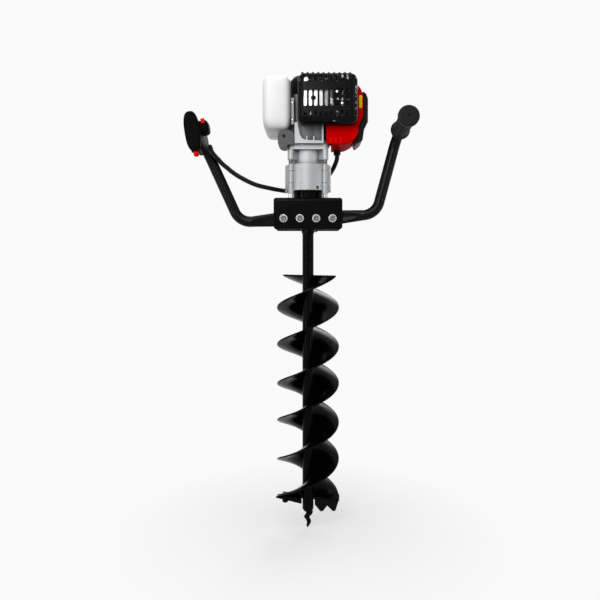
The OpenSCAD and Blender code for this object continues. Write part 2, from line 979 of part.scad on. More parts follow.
module hinge_pin(a, v) {
    translate([-half_slot, a, v])
        rotate([0, 90, 0])
            cylinder(d = hinge_d, h = 2 * half_slot, $fn = bore_fn);
}

module throttle_case_outer() {
    color("#191919") {
        throttle_half(-1);
        throttle_frame() {
            hinge_pin(trigger_a, trigger_z);
            hinge_pin(lever_a, lever_z);
        }
    }
}

module throttle_case_inner() {
    color("#191919")
        throttle_half(1);
}

// Flat lever with a round knuckle on its hinge, drawn in the plane of a and z
module knuckle_lever(a, v, points) {
    throttle_frame()
        translate([0, a, v])
            difference() {
                translate([-trigger_w / 2, 0, 0])
                    rotate([90, 0, 90]) {
                        cylinder(r = knuckle_r, h = trigger_w);
                        linear_extrude(trigger_w)
                            polygon(points);
                    }
                rotate([0, 90, 0])
                    cylinder(d = hinge_d + 2 * fit, h = 2 * trigger_w, center = true, $fn = bore_fn);
            }
}

module throttle_trigger() {
    color("#222222")
        knuckle_lever(trigger_a, trigger_z,
            [[0, 4], [14, 1], [52, -9], [54, -14], [46, -20], [30, -18], [14, -13], [0, -4]]);
}

module lock_lever() {
    color("#222222")
        knuckle_lever(lever_a, lever_z,
            [[0, 4], [-12, 12], [-48, 19], [-60, 17], [-63, 12], [-60, 9], [-14, -1], [0, -4]]);
}

module stop_switch() {
    color("#e01010")
        throttle_frame()
            translate([22 - switch_w / 2, switch_a - switch_len / 2, switch_base])
                difference() {
                    cube([switch_w, switch_len, 11]);
                    for (y = [2.5, 5, 7.5])
                        translate([-1, y - 0.5, 10])
                            cube([switch_w + 2, 1, 2]);
                }
}

module half_throttle_button() {
    top = -boss_drop + 5;
    low = -boss_drop - 5;
    color("#e01010")
        throttle_frame()
            translate([0, button_a, 0]) {
                translate([0, 0, low])
                    cylinder(d = button_d, h = top - low, $fn = bore_fn);
                translate([0, 0, low])
                    sphere(d = button_d);
            }
}

// Throttle cable: rings square to the route, joined by triangles

function unit(v) = v / norm(v);
function route_dir(p, i) = unit(p[min(i + 1, len(p) - 1)] - p[max(i - 1, 0)]);
function cable_ring(p, i) =
    let (d = route_dir(p, i), side = unit(cross(d, [0, 0.2, 1])), up = cross(side, d))
    [for (k = [0:cable_sides - 1])
        p[i] + cable_d / 2 * (cos(360 * k / cable_sides) * side - sin(360 * k / cable_sides) * up)];

module throttle_cable() {
    color("#151515")
        loft([for (i = [0:len(cable_route) - 1]) cable_ring(cable_route, i)]);
}

module towards(p, q) {
    d = q - p;
    translate(p)
        rotate([0, acos(d[2] / norm(d)), atan2(d[1], d[0])])
            children();
}

module cable_boot(spare) {
    boot_len = 9;
    towards(cable_route[0], cable_route[1])
        translate([0, 0, -boot_len - spare])
            cylinder(d = cable_d + 2 + 2 * spare, h = boot_len + spare);
}

module cable_gland() {
    last = cable_route[len(cable_route) - 1];
    color("#202020") {
        cable_boot(0);
        translate(last)
            cylinder(d = cable_d + 6, h = shroud_floor - last[2]);
    }
}

// Engine

column_r = 7.5;
column_circle = flange_w + 20;
screw_d = 6;

module clutch_housing() {
    neck_d = drum_d + 14;
    cavity_d = drum_d + 6;
    floor_t = 2;
    column_lift = 10;
    rib_t = 7;
    color("#c8c8c8")
        difference() {
            union() {
                translate([0, 0, z_clutch])
                    cylinder(d = neck_d, h = clutch_h + eps);
                translate([0, 0, z_flange])
                    linear_extrude(flange_t)
                        round_rect(flange_w, flange_w, column_r);
                four_corners(column_circle / 2) {
                    translate([0, 0, z_clutch + column_lift])
                        cylinder(r = column_r, h = clutch_h - column_lift + eps);
                    translate([-column_circle / 2 + cavity_d / 2, -rib_t / 2, z_clutch + column_lift])
                        cube([(column_circle - cavity_d) / 2, rib_t, clutch_h - column_lift + eps]);
                }
            }
            translate([0, 0, z_clutch + floor_t])
                cylinder(d = cavity_d, h = clutch_h + flange_t, $fn = bore_fn);
            translate([0, 0, z_clutch - 1])
                cylinder(d = in_bearing_d, h = floor_t + 2);
            four_corners(column_circle / 2)
                translate([0, 0, z_clutch])
                    cylinder(d = screw_d + 2 * gap, h = clutch_h + flange_t + 1);
        }
}

module housing_screws() {
    head_h = 6;
    head_at = z_clutch + 10 - head_h;
    color("#d4d4d4")
        four_corners(column_circle / 2)
            translate([0, 0, head_at]) {
                difference() {
                    cylinder(d = 1.7 * screw_d, h = head_h);
                    translate([0, 0, -1])
                        hex(0.8 * screw_d, head_h / 2 + 1);
                }
                translate([0, 0, head_h - eps])
                    cylinder(d = screw_d, h = z_fan - head_at - head_h + 6);
            }
}

module clutch_shoes() {
    shoe_h = 16;
    shoe_r = drum_d / 2 - drum_wall - shoe_gap;
    hub_r = crank_d / 2 + 6;
    slit = 4;
    color("#8f8f8f")
        translate([0, 0, z_drum + drum_floor + 4])
            difference() {
                cylinder(r = shoe_r, h = shoe_h);
                translate([0, 0, -1])
                    cylinder(d = crank_d + 2 * seat, h = shoe_h + 2, $fn = bore_fn);
                for (a = [0, 180])
                    rotate([0, 0, a])
                        translate([hub_r, -slit / 2, -1])
                            cube([shoe_r, slit, shoe_h + 2]);
                translate([0, 0, shoe_h / 2])
                    ring(2 * shoe_r - 16, 2 * hub_r, shoe_h);
            }
}

module flywheel() {
    wheel_r = fan_d / 2 - 8;
    plate_t = 6;
    blade_h = fan_h - plate_t - 14;
    vane_t = 2.5;
    hub_r = 14;
    color("#adadad")
        translate([0, 0, z_fan + 3])
            difference() {
                union() {
                    cylinder(r = wheel_r, h = plate_t);
                    cylinder(r = hub_r, h = plate_t + blade_h);
                    for (i = [0:11])
                        rotate([0, 0, 30 * i])
                            translate([wheel_r - 22, -vane_t / 2, 0])
                                cube([21, vane_t, plate_t + blade_h]);
                }
                translate([0, 0, -1])
                    cylinder(d = crank_d + 2 * seat, h = fan_h, $fn = bore_fn);
            }
}

module crankshaft() {
    low = z_drum + drum_floor + 2;
    dog_r = 13;
    dog_h = 6;
    color("#a0a0a0") {
        translate([0, 0, low])
            cylinder(d = crank_d, h = z_recoil + dog_h - low, $fn = bore_fn);
        translate([0, 0, z_recoil + 1])
            cylinder(r = dog_r, h = dog_h);
        for (a = [0, 180])
            rotate([0, 0, a])
                translate([4, -2, z_recoil + 1 + dog_h - eps])
                    cube([dog_r - 5, 4, 3]);
    }
}

module crankcase() {
    bowl_wall = 4;
    roof_t = 6;
    block_r = 10;
    seat_t = 8;
    pad_x = [-31, 36];
    pad_front = -fan_d / 2 - 5;
    pocket_deep = 7;
    pocket = [[-25, fan_h], [-18.5, 20], [-14, 12], [-5, 8], [pad_x[1] - 4, 6], [pad_x[1] - 4, fan_h]];
    color("#a9a9a9")
        difference() {
            union() {
                translate([0, 0, z_fan])
                    cylinder(d = fan_d, h = fan_h);
                translate([0, 0, z_fan])
                    linear_extrude(seat_t)
                        round_rect(flange_w, flange_w, column_r);
                translate([0, 0, z_case - eps])
                    linear_extrude(case_h + eps)
                        round_rect(case_w, case_w, block_r);
                difference() {
                    translate([pad_x[0], pad_front, z_fan])
                        cube([pad_x[1] - pad_x[0], 16, fan_h - 2]);
                    translate([0, pad_front + pocket_deep, z_fan])
                        rotate([90, 0, 0])
                            linear_extrude(pocket_deep + 1)
                                polygon(pocket);
                }
                for (x = [-4.5, 11.5])
                    translate([x, pad_front + 1, z_fan + 5])
                        cube([3.5, pocket_deep, 12]);
            }
            translate([0, 0, z_fan - 1])
                cylinder(d = fan_d - 2 * bowl_wall, h = fan_h - roof_t + 1);
            translate([0, 0, z_fan])
                cylinder(d = crank_bore, h = fan_h + case_h + 1, $fn = bore_fn);
            translate([case_w / 2 - 8, -fan_d / 4, z_fan + seat_t + 2])
                cube([fan_d / 2, fan_d / 2, fan_h - roof_t - seat_t - 2]);
            four_corners(column_circle / 2)
                translate([0, 0, z_fan - 1])
                    cylinder(d = screw_d + 2 * seat, h = 8);
            translate([case_w / 2 + 4, 0, z_cyl])
                rotate([0, 90, 0])
                    cylinder(d = fin_d + 2, h = fan_d / 2);
        }
}

// The cylinder lies on its side, head to the right
module cylinder_part() {
    barrel_d = 54;
    fin_t = 2.2;
    fin_x0 = case_w / 2 + 8;
    fin_step = (cylinder_reach - 8 - fin_x0) / (fin_count - 1);
    port_w = 34;
    port_h = 26;
    exhaust_y = -50;
    intake_y = 50;
    color("#b5b5b5")
        translate([0, 0, z_cyl])
            difference() {
                union() {
                    translate([case_w / 2, 0, 0])
                        rotate([0, 90, 0])
                            cylinder(d = barrel_d, h = cylinder_reach - case_w / 2);
                    for (i = [0:fin_count - 1])
                        translate([fin_x0 + i * fin_step, 0, 0])
                            rotate([0, 90, 0])
                                cylinder(d = fin_d, h = fin_t);
                    translate([fin_x0 + 4, exhaust_y, -port_h / 2])
                        cube([port_w, intake_y - exhaust_y, port_h]);
                }
                translate([cylinder_reach - 14, 0, 0])
                    rotate([0, 90, 0])
                        cylinder(d = plug_d, h = 20, $fn = bore_fn);
            }
}

plug_d = 14;

module spark_plug() {
    color("#d8d4cc")
        translate([cylinder_reach - 12, 0, z_cyl])
            rotate([0, 90, 0]) {
                cylinder(d = plug_d - 2 * seat, h = 13);
                translate([0, 0, 12])
                    hex(19, 8);
                translate([0, 0, 19])
                    cylinder(d = 11, h = 8);
            }
}

// An outline with each side moved inward by a wall
function inset(p, w) =
    let (n = len(p), side = [for (i = [0:n - 1]) let (d = unit(p[(i + 1) % n] - p[i])) [-d[1], d[0]]])
    [for (i = [0:n - 1]) let (a = side[(i + n - 1) % n], b = side[i]) p[i] + w * (a + b) / (1 + a * b)];

// Front outline of the red shroud, seen as x and z, anticlockwise from its lower left corner
shroud_outline = [
    [shroud_x, shroud_floor], [shroud_x + 43, shroud_floor + 1], [shroud_x + 52, shroud_floor + 4],
    [shroud_end - 18, shroud_floor + 13], [shroud_end - 10.5, shroud_floor + 26],
    [shroud_end - 10.5, shroud_floor + 46], [shroud_end, shroud_floor + 62], [shroud_end, shroud_top - 35],
    [shroud_end - 5.5, shroud_top - 19], [shroud_end - 16, shroud_top - 9], [shroud_x + 40, shroud_top],
    [shroud_x, shroud_top]];

module shroud_block(w) {
    translate([0, shroud_back - w, 0])
        rotate([90, 0, 0])
            linear_extrude(shroud_back - shroud_front - 2 * w)
                polygon(inset(shroud_outline, w));
}

module cylinder_shroud() {
    rib = [3.5, 1.5, 14];
    rib_x = [11, 22.5, 34];
    rib_z = shroud_floor + 2;
    color("#d40000")
        difference() {
            union() {
                shroud_block(0);
                for (x = rib_x)
                    translate([shroud_x + x - rib[0] / 2, shroud_front - rib[1], rib_z])
                        cube([rib[0], 2 * rib[1], rib[2]]);
            }
            shroud_block(cover_wall);
            translate([shroud_x - 1, shroud_front + cover_wall, shroud_floor + cover_wall + 1])
                cube([cover_wall + 2, shroud_back - shroud_front - 2 * cover_wall,
                    shroud_top - shroud_floor - 2 * cover_wall - 2]);
            translate([0, shroud_front - 5, muffler_z - 3])
                cube([muffler_x + muffler_w + 3, 10, muffler_h + 6]);
            translate([carb_x - carb_clear, shroud_back - 5, z_cyl - carb_body[2] / 2 - carb_clear])
                cube([carb_body[0] + 2 * carb_clear, 10, carb_body[2] + 2 * carb_clear]);
            translate([0, shroud_front - 1, z_recoil - 2])
                cube([recoil_d / 2 + 1.5, shroud_back - shroud_front + 2, shroud_top - z_recoil + 4]);
            translate([shroud_end - 5, 0, z_cyl])
                rotate([0, 90, 0])
                    cylinder(d = 36, h = 10);
            translate([shroud_x - 5, shroud_front + cover_wall, shroud_floor - 5])
                cube([20, shroud_back - shroud_front, 22]);
        }
}

// Moulded cover over the spark plug, from the shroud's top right corner round its waist to the foot
module end_cover() {
    half_y = 46;
    thick = 14;
    edge_r = 12;
    s = shroud_outline;
    boot = [thick - cover_wall, 2 * half_y - 22, 44];
    outline = [s[3] + [gap, -2 * gap], s[3] + [3.5, -7.5], s[3] + [6.5, -9], s[4] + [11, -12], s[5] + [14.5, -7],
        s[6] + [thick, -4], s[7] + [thick, -5], s[7] + [0.6 * thick, 6], s[7] + [0.2 * thick, 10],
        s[7] + [0, 10], s[6] - [0, 3 * gap], s[5] + [2 * gap, -gap], s[4] + [2 * gap, 0]];
    color("#151515")
        difference() {
            intersection() {
                rotate([90, 0, 0])
                    linear_extrude(2 * half_y, center = true)
                        polygon(outline);
                translate([shroud_end + thick - 20, 0, shroud_floor - 20])
                    linear_extrude(shroud_top - shroud_floor + 20)
                        round_rect(40, 2 * half_y, edge_r);
            }
            translate([shroud_end - 1, -boot[1] / 2, z_cyl - boot[2] / 2])
                cube([boot[0] + 1, boot[1], boot[2]]);
        }
}

muffler_x = -12;
muffler_w = 110;
muffler_z = 258;
muffler_h = 80;

module muffler() {
    back = -50;
    front = shroud_front - guard_depth + 9;
    seam_y = (back + front) / 2;
    wall = 1.5;
    outlet_x = -0.28 * muffler_w;
    color("#c9c9c9")
        translate([muffler_x + muffler_w / 2, 0, muffler_z + muffler_h / 2])
            rotate([90, 0, 0])
                difference() {
                    union() {
                        translate([0, 0, -back])
                            linear_extrude(back - front)
                                round_rect(muffler_w - 6, muffler_h - 6, 14);
                        translate([0, 0, -seam_y - 1.5])
                            linear_extrude(3)
                                round_rect(muffler_w, muffler_h, 16);
                        translate([outlet_x, 0, -front - eps])
                            cylinder(d = 16, h = 4);
                    }
                    translate([0, 0, -back + wall])
                        linear_extrude(back - front - 2 * wall)
                            round_rect(muffler_w - 6 - 2 * wall, muffler_h - 6 - 2 * wall, 14 - wall);
                    translate([outlet_x, 0, -front - 2 * wall])
                        cylinder(d = 12, h = 10);
                }
}

// Guard with three rows of slots; the outer rows run over the top and bottom edges
module guard_form(r, back_extra) {
    hull()
        for (x = [guard_r, guard_w - guard_r], z = [guard_r, guard_h - guard_r])
            translate([guard_x + x, shroud_front, guard_z + z]) {
                translate([0, -guard_depth + guard_r, 0])
                    sphere(r, $fn = 32);
                translate([0, back_extra, 0])
                    rotate([90, 0, 0])
                        cylinder(r = r, h = eps, $fn = 32);
            }
}

module muffler_guard() {
    front = shroud_front - guard_depth;
    mid_low = 39;
    mid_h = 38;
    edge_h = 22;
    edge_deep = 20;
    color("#101010")
        difference() {
            guard_form(guard_r, 0);
            guard_form(guard_r - cover_wall, 1);
            translate([guard_x - 1, shroud_front, guard_z - 1])
                cube([guard_w + 2, guard_r, guard_h + 2]);
            for (i = [0:slot_count - 1])
                translate([slot_first + i * slot_pitch, front, guard_z]) {
                    translate([0, edge_deep, mid_low + mid_h / 2])
                        rotate([90, 0, 0])
                            linear_extrude(2 * edge_deep)
                                stadium(slot_w, mid_h);
                    translate([-slot_w / 2 + 1, -1, guard_h - edge_h + 4])
                        cube([slot_w - 2, edge_deep, edge_h]);
                    translate([-slot_w / 2 + 1, -1, 12])
                        cube([slot_w - 2, edge_deep / 2, edge_h - 4]);
                }
        }
}

module recoil_housing() {
    guide_d = 16;
    guide_end = 52;
    color("#171717")
        difference() {
            union() {
                translate([0, 0, z_recoil])
                    cylinder(d = recoil_d, h = recoil_h - 8);
                translate([0, 0, z_recoil + recoil_h - 8 - eps])
                    cylinder(d1 = recoil_d, d2 = recoil_d - 14, h = 8 + eps);
                translate([starter_x, 0, starter_z])
                    rotate([-90, 0, 0])
                        cylinder(d = guide_d, h = guide_end);
            }
            translate([0, 0, z_recoil - 1])
                cylinder(d = recoil_d - 2 * cover_wall, h = recoil_h - 8 + 1, $fn = bore_fn);
            translate([starter_x, -10, starter_z])
                rotate([-90, 0, 0])
                    cylinder(d = rope_d + 2, h = guide_end + 11);
            for (a = [20:40:340])
                rotate([0, 0, a])
                    translate([18, -2.5, z_recoil + recoil_h - 9])
                        cube([16, 5, 12]);
        }
    color("#171717")
        translate([0, 0, starter_z - pulley_h / 2])
            cylinder(d = crank_d, h = z_recoil + recoil_h - starter_z + pulley_h / 2 - 4, $fn = bore_fn);
}

// Rope drum with a round groove, on the housing's post
module starter_pulley() {
    groove_r = rope_d;
    color("#303030")
        translate([0, 0, starter_z - pulley_h / 2])
            difference() {
                cylinder(r = pulley_r + groove_r, h = pulley_h, $fn = bore_fn);
                translate([0, 0, -1])
                    cylinder(d = crank_bore, h = pulley_h + 2, $fn = bore_fn);
                translate([0, 0, pulley_h / 2])
                    rotate_extrude($fn = bore_fn)
                        translate([pulley_r + groove_r, 0])
                            circle(groove_r + rope_d / 2 + gap);
            }
}

module starter_rope() {
    rope_end = 54;
    color("#e8e4d8")
        translate([starter_x, 4, starter_z])
            rotate([-90, 0, 0])
                cylinder(d = rope_d, h = rope_end - 4);
}

// T-shaped pull handle behind the housing
module starter_handle() {
    bar_len = 64;
    bar_d = 17;
    at = 54;
    stem = 14;
    color("#1a1a1a")
        translate([starter_x, at, starter_z]) {
            rotate([-90, 0, 0])
                cylinder(d1 = 11, d2 = 14, h = stem);
            translate([0, stem + bar_d / 2 - 2, 0])
                rotate([0, 90, 0])
                    rotate_extrude()
                        polygon([[0, -bar_len / 2], [bar_d / 2 - 3, -bar_len / 2], [bar_d / 2, -bar_len / 2 + 4],
                            [bar_d / 2 - 1.5, 0], [bar_d / 2, bar_len / 2 - 4], [bar_d / 2 - 3, bar_len / 2],
                            [0, bar_len / 2]]);
        }
}

// Fuel system

module tank_form(w) {
    difference() {
        translate([tank_x + w, tank_y + w, tank_z + w])
            soft_box([tank_w - 2 * w, tank_depth - 2 * w, tank_h - 2 * w], tank_r - w);
        translate([0, 0, tank_z - 1])
            cylinder(r = max(fan_d, recoil_d) / 2 + 3 + w, h = tank_h + 2, $fn = bore_fn);
    }
}

module fuel_tank() {
    color("#f2f2ee")
        difference() {
            union() {
                tank_form(0);
                translate([cap_at[0], cap_at[1], tank_z + tank_h - 1])
                    cylinder(d = neck_d, h = neck_h + 1);
            }
            tank_form(tank_wall);
            translate([cap_at[0], cap_at[1], tank_z + tank_h - 3 * tank_wall])
                cylinder(d = neck_d - 2 * tank_wall, h = neck_h + 4 * tank_wall, $fn = bore_fn);
        }
}

module fuel_cap() {
    ribs = 18;
    color("#161616")
        translate([cap_at[0], cap_at[1], tank_z + tank_h + 1])
            difference() {
                union() {
                    cylinder(d = cap_d, h = cap_h);
                    for (i = [0:ribs - 1])
                        rotate([0, 0, 360 / ribs * i])
                            translate([cap_d / 2 - 0.5, -1.2, 2])
                                cube([2, 2.4, cap_h - 4]);
                }
                translate([0, 0, -1])
                    cylinder(d = neck_d + 2 * fit, h = neck_h + 1, $fn = bore_fn);
            }
}

// Moulded stand that carries the tank beside the fan chamber
module tank_stand() {
    left = -70;
    right = -32;
    front = -59;
    depth = 108;
    low = z_fan - 10;
    foot = 50;
    corner_r = 14;
    recess = max(flange_w / 2, column_circle / 2 * cos(45) + column_r) + gap;
    color("#5a5a5a")
        difference() {
            translate([(left + right) / 2, front, (low + tank_z) / 2])
                rotate([-90, 0, 0])
                    linear_extrude(depth)
                        round_rect(right - left, tank_z - low, corner_r);
            translate([0, 0, low - 1])
                cylinder(d = fan_d + 2 * gap, h = tank_z - low + 2, $fn = bore_fn);
            translate([-recess, -recess, low - 1])
                cube([recess, 2 * recess, z_fan + 9 - low + 1]);
            translate([right - 16, front - 1, low - 1])
                cube([20, 3 * corner_r, z_fan - low - 2]);
            translate([left - 1, front + foot, low - 1])
                cube([right - left + 2, depth, z_fan + 10 - low]);
        }
}

module carburettor() {
    y0 = 50;
    color("#b0b0b0") {
        translate([carb_x, y0, z_cyl - carb_body[2] / 2])
            cube(carb_body);
        translate([carb_x + carb_body[0] / 2, y0 + carb_body[1] / 2, z_cyl + carb_body[2] / 2 - eps])
            cylinder(d = 16, h = 10);
    }
}

module air_filter() {
    w = filter_w;
    h = 74;
    z = z_cyl - 4;
    ear = [choke_pivot[0] - filter_x, z - choke_pivot[2]];
    color("#1a1a1a")
        translate([filter_x, filter_front - 2, z])
            rotate([-90, 0, 0])
                difference() {
                    union() {
                        linear_extrude(8)
                            round_rect(w, h, 12);
                        translate([ear[0], ear[1], 0]) {
                            cylinder(r = choke_ear - 1, h = 3.7);
                            translate([0, 1 - choke_ear, 0])
                                cube([choke_ear + 3, 2 * choke_ear - 2, 3.7]);
                            cylinder(d = choke_pin_d, h = 7, $fn = bore_fn);
                        }
                        translate([0, 0, 7])
                            hull()
                                for (x = [-1, 1], y = [-1, 1])
                                    translate([x * (w / 2 - 16), y * (h / 2 - 16), 0]) {
                                        cylinder(r = 13, h = 1, $fn = 24);
                                        translate([0, 0, filter_depth - 22])
                                            sphere(13, $fn = 24);
                                    }
                    }
                    for (i = [-2:2])
                        translate([i * 10 - 2, -h / 2 - 1, 12])
                            cube([4, 12, 10]);
                }
}

module choke_lever() {
    reach = 22;
    color("#c01515")
        translate(choke_pivot)
            rotate([-90, 0, 0])
                linear_extrude(3)
                    difference() {
                        union() {
                            circle(5);
                            translate([-reach, -3])
                                square([reach, 6]);
                            translate([-reach, 0])
                                circle(5);
                        }
                        circle(d = choke_pin_d + 2 * fit, $fn = bore_fn);
                    }
}

auger_tube();
bit_collar();
flight_one();
flight_two();
cutting_blades();
blade_bolts();
drill_point();
cross_pin();
pin_clip();
output_shaft();
planet_pins();
planet_one();
planet_two();
planet_three();
sun_shaft();
ring_gear_case();
gearbox_bottom();
gearbox_top();
output_bearing();
input_bearing();
shaft_seal();
gearbox_bolts();
jam_nuts();
mounting_spacer();
bracket();
left_handle();
right_handle();
handle_bolts();
handle_nuts();
right_grip();
throttle_case_outer();
throttle_case_inner();
throttle_trigger();
lock_lever();
stop_switch();
half_throttle_button();
throttle_cable();
cable_gland();
clutch_housing();
housing_screws();
clutch_shoes();
flywheel();
crankshaft();
crankcase();
cylinder_part();  // cylinder
spark_plug();
end_cover();
muffler();
muffler_guard();
cylinder_shroud();
recoil_housing();
starter_pulley();
starter_handle();
starter_rope();
fuel_tank();
fuel_cap();
tank_stand();
carburettor();
air_filter();
choke_lever();
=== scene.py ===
# %% [markdown]
# # Petrol earth auger
# A small engine sits over a gearbox and turns a spiral bit. The CAD model already has every rigid piece in place,
# so this lesson loads it as a fixed frame, gives each piece the finish of the real one, and lays finer meshes over
# the pieces that a mould, a tube bender or a lathe made round.

# %% Load the frame
import math

import bmesh
import bpy
import numpy as np
from mathutils import Matrix, Vector


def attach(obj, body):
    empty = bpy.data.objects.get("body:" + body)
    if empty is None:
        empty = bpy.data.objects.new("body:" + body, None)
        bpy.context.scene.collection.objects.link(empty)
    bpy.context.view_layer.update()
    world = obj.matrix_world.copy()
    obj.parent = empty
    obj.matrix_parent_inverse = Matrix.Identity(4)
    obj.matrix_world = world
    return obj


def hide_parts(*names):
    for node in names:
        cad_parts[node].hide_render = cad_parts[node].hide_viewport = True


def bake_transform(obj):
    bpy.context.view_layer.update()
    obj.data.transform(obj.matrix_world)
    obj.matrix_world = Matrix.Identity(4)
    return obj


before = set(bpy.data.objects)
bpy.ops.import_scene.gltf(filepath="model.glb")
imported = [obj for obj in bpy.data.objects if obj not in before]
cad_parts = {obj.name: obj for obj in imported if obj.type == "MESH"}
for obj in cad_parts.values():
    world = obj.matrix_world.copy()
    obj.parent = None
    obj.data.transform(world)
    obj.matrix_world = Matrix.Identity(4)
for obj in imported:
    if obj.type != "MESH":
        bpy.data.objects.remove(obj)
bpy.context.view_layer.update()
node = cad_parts

# %% [markdown]
# The photograph was taken almost level, from about a metre and a half, with the lens a little below the engine. The
# bit's axis is 8 pixels right of the middle. A tilt down of a degree and a third and a small shift of the lens give
# that framing and keep the tube of the bit upright.

# %% Camera
FRAME_PX, FOCAL_PX, SHIFT_X_PX, SHIFT_Y_PX = 600, 631.7, -8, -30
SENSOR_MM, CAMERA_AT, DOWN = 36, (0, -1.526, -0.0568), math.radians(1.36)
eye = bpy.data.cameras.new("eye")
eye.sensor_width = SENSOR_MM
eye.lens = SENSOR_MM * FOCAL_PX / FRAME_PX
eye.shift_x = SHIFT_X_PX / FRAME_PX
eye.shift_y = SHIFT_Y_PX / FRAME_PX
eye.clip_end = 50
camera = bpy.data.objects.new("camera", eye)
camera.location = CAMERA_AT
camera.rotation_euler = (math.pi / 2 - DOWN, 0, 0)
scene = bpy.context.scene
scene.collection.objects.link(camera)
scene.camera = camera
print("camera lens", round(eye.lens, 2), "mm")

# %% [markdown]
# Colours are written as the eye names them, in sRGB hex, and one function turns them to the linear values that
# Blender works with. Each material is a small node tree, so one more function adds a node, sets it and links it. The
# rest name the few steps that every finish repeats: a noise of a size in millimetres, a range spread over another, a
# mix of two colours, a sum, a rounded edge, a bump and the closing shader.

# %% Colour and node helpers
def ink(hex_code):
    parts = [int(hex_code[i:i + 2], 16) / 255 for i in (1, 3, 5)]
    linear = [p / 12.92 if p <= 0.04045 else ((p + 0.055) / 1.055) ** 2.4 for p in parts]
    return (*linear, 1)


def add(tree, kind, inputs=None, **settings):
    made = tree.nodes.new("ShaderNode" + kind)
    for key, value in settings.items():
        setattr(made, key, value)
    for key, value in (inputs or {}).items():
        if isinstance(value, bpy.types.NodeSocket):
            tree.links.new(value, made.inputs[key])
        else:
            made.inputs[key].default_value = value
    return made


def finish_named(name):
    mat = bpy.data.materials.new(name)
    mat.use_nodes = True
    mat.node_tree.nodes.clear()
    return mat, mat.node_tree, add(mat.node_tree, "TexCoord").outputs["Object"]


def noise(tree, place, size_mm, detail, roughness=0.5):
    return add(tree, "TexNoise", {"Vector": place, "Scale": 1000 / size_mm, "Detail": detail,
                                  "Roughness": roughness}).outputs["Fac"]


def spread(tree, value, low, high, first, last):
    return add(tree, "MapRange", {"Value": value, "From Min": low, "From Max": high, "To Min": first,
                                  "To Max": last}).outputs["Result"]


def mixed(tree, share, first, second):
    return add(tree, "Mix", {0: share, 6: first, 7: second}, data_type="RGBA").outputs[2]


def reckon(tree, how, *values):
    return add(tree, "Math", dict(enumerate(values)), operation=how).outputs["Value"]


def soft_edge(tree, radius):
    return add(tree, "Bevel", {"Radius": radius}, samples=6).outputs["Normal"]


def bumped(tree, height, strength, depth, normal=None):
    inputs = {"Height": height, "Strength": strength, "Distance": depth}
    if normal is not None:
        inputs["Normal"] = normal
    return add(tree, "Bump", inputs).outputs["Normal"]


def close(mat, tree, inputs):
    surface = add(tree, "BsdfPrincipled", inputs)
    add(tree, "OutputMaterial", {"Surface": surface.outputs["BSDF"]})
    return mat


SHROUD_RED = "#d40000"
print("red of the shroud in linear light:", [round(v, 3) for v in ink(SHROUD_RED)])

# %% [markdown]
# The bit, the channel and the handles are mild steel with a baked black powder coat. Powder flows as it cures and
# sets with a faint orange peel about two millimetres across, and dust and handling leave the gloss uneven. So the
# colour barely changes, and the bump and the roughness carry the look. Sharp edges rub through first, so a mask
# from the bevelled normal makes them a little paler. Hands keep the tubes shinier than the rest.

# %% Powder-coated steel
def powder_coat(name, colour, edge, low, high, shine=0.05):
    mat, tree, place = finish_named(name)
    gloss = spread(tree, noise(tree, place, 45, 5.0, 0.65), 0.3, 0.7, low, high)
    round_edge = soft_edge(tree, 0.0012)
    flat = add(tree, "NewGeometry").outputs["Normal"]
    turn = add(tree, "VectorMath", {0: round_edge, 1: flat}, operation="DOT_PRODUCT").outputs["Value"]
    tint = mixed(tree, spread(tree, turn, 0.97, 0.75, 0.0, 0.5), ink(colour), ink(edge))
    peel = bumped(tree, noise(tree, place, 2.2, 2.0), 0.12, 0.0004, round_edge)
    return close(mat, tree, {"Base Color": tint, "Roughness": gloss, "IOR": 1.5, "Specular IOR Level": shine,
                             "Normal": peel})


bit_coat = powder_coat("powder_coat_gloss_black", "#020202", "#242424", 0.12, 0.26)
frame_coat = powder_coat("powder_coat_satin_black", "#020202", "#242424", 0.13, 0.26)
tube_coat = powder_coat("powder_coat_handled_black", "#050505", "#2a2a2a", 0.13, 0.26, shine=0.1)
print("made", bit_coat.name, frame_coat.name, "and", tube_coat.name)

# %% [markdown]
# Bolts, nuts and washers are steel with bright zinc on them. Plating is thin and shiny, with a faint blue and
# yellow drift where it was passivated, and the turned steel under it leaves it slightly streaked. Bare ground steel
# and oil-blackened steel are made the same way, with darker colours.

# %% Bright zinc plate
def plated(name, cool, warm, rough):
    mat, tree, place = finish_named(name)
    tint = mixed(tree, noise(tree, place, 14, 3.0), ink(cool), ink(warm))
    soft = spread(tree, noise(tree, place, 0.9, 3.0), 0.0, 1.0, rough, rough + 0.15)
    return close(mat, tree, {"Base Color": tint, "Metallic": 1.0, "Roughness": soft,
                             "Normal": soft_edge(tree, 0.0006)})


zinc = plated("bright_zinc_plate", "#b6bbc1", "#c6c2b4", 0.2)
worn_zinc = plated("dulled_zinc_plate", "#5c5f63", "#6d6a62", 0.3)
ground_steel = plated("ground_steel", "#84868a", "#938f89", 0.26)
blackened_steel = plated("oil_blackened_steel", "#1d1e20", "#262422", 0.34)
print("made", zinc.name, worn_zinc.name, ground_steel.name, blackened_steel.name)

# %% [markdown]
# The muffler is pressed from aluminised steel sheet. Its colour is painted black round the outlet and along the top
# and foot, a painted shade so that the slots in front of it look dark, and only the left of its face stays silver.
# The mask is a soft box in the part's own space, broken up by a noise of eight millimetres, so that flakes of bright
# metal are left in the painted shade as painted glints.

# %% Aluminised steel with painted shade
FACE_MIDDLE_Z = 0.298


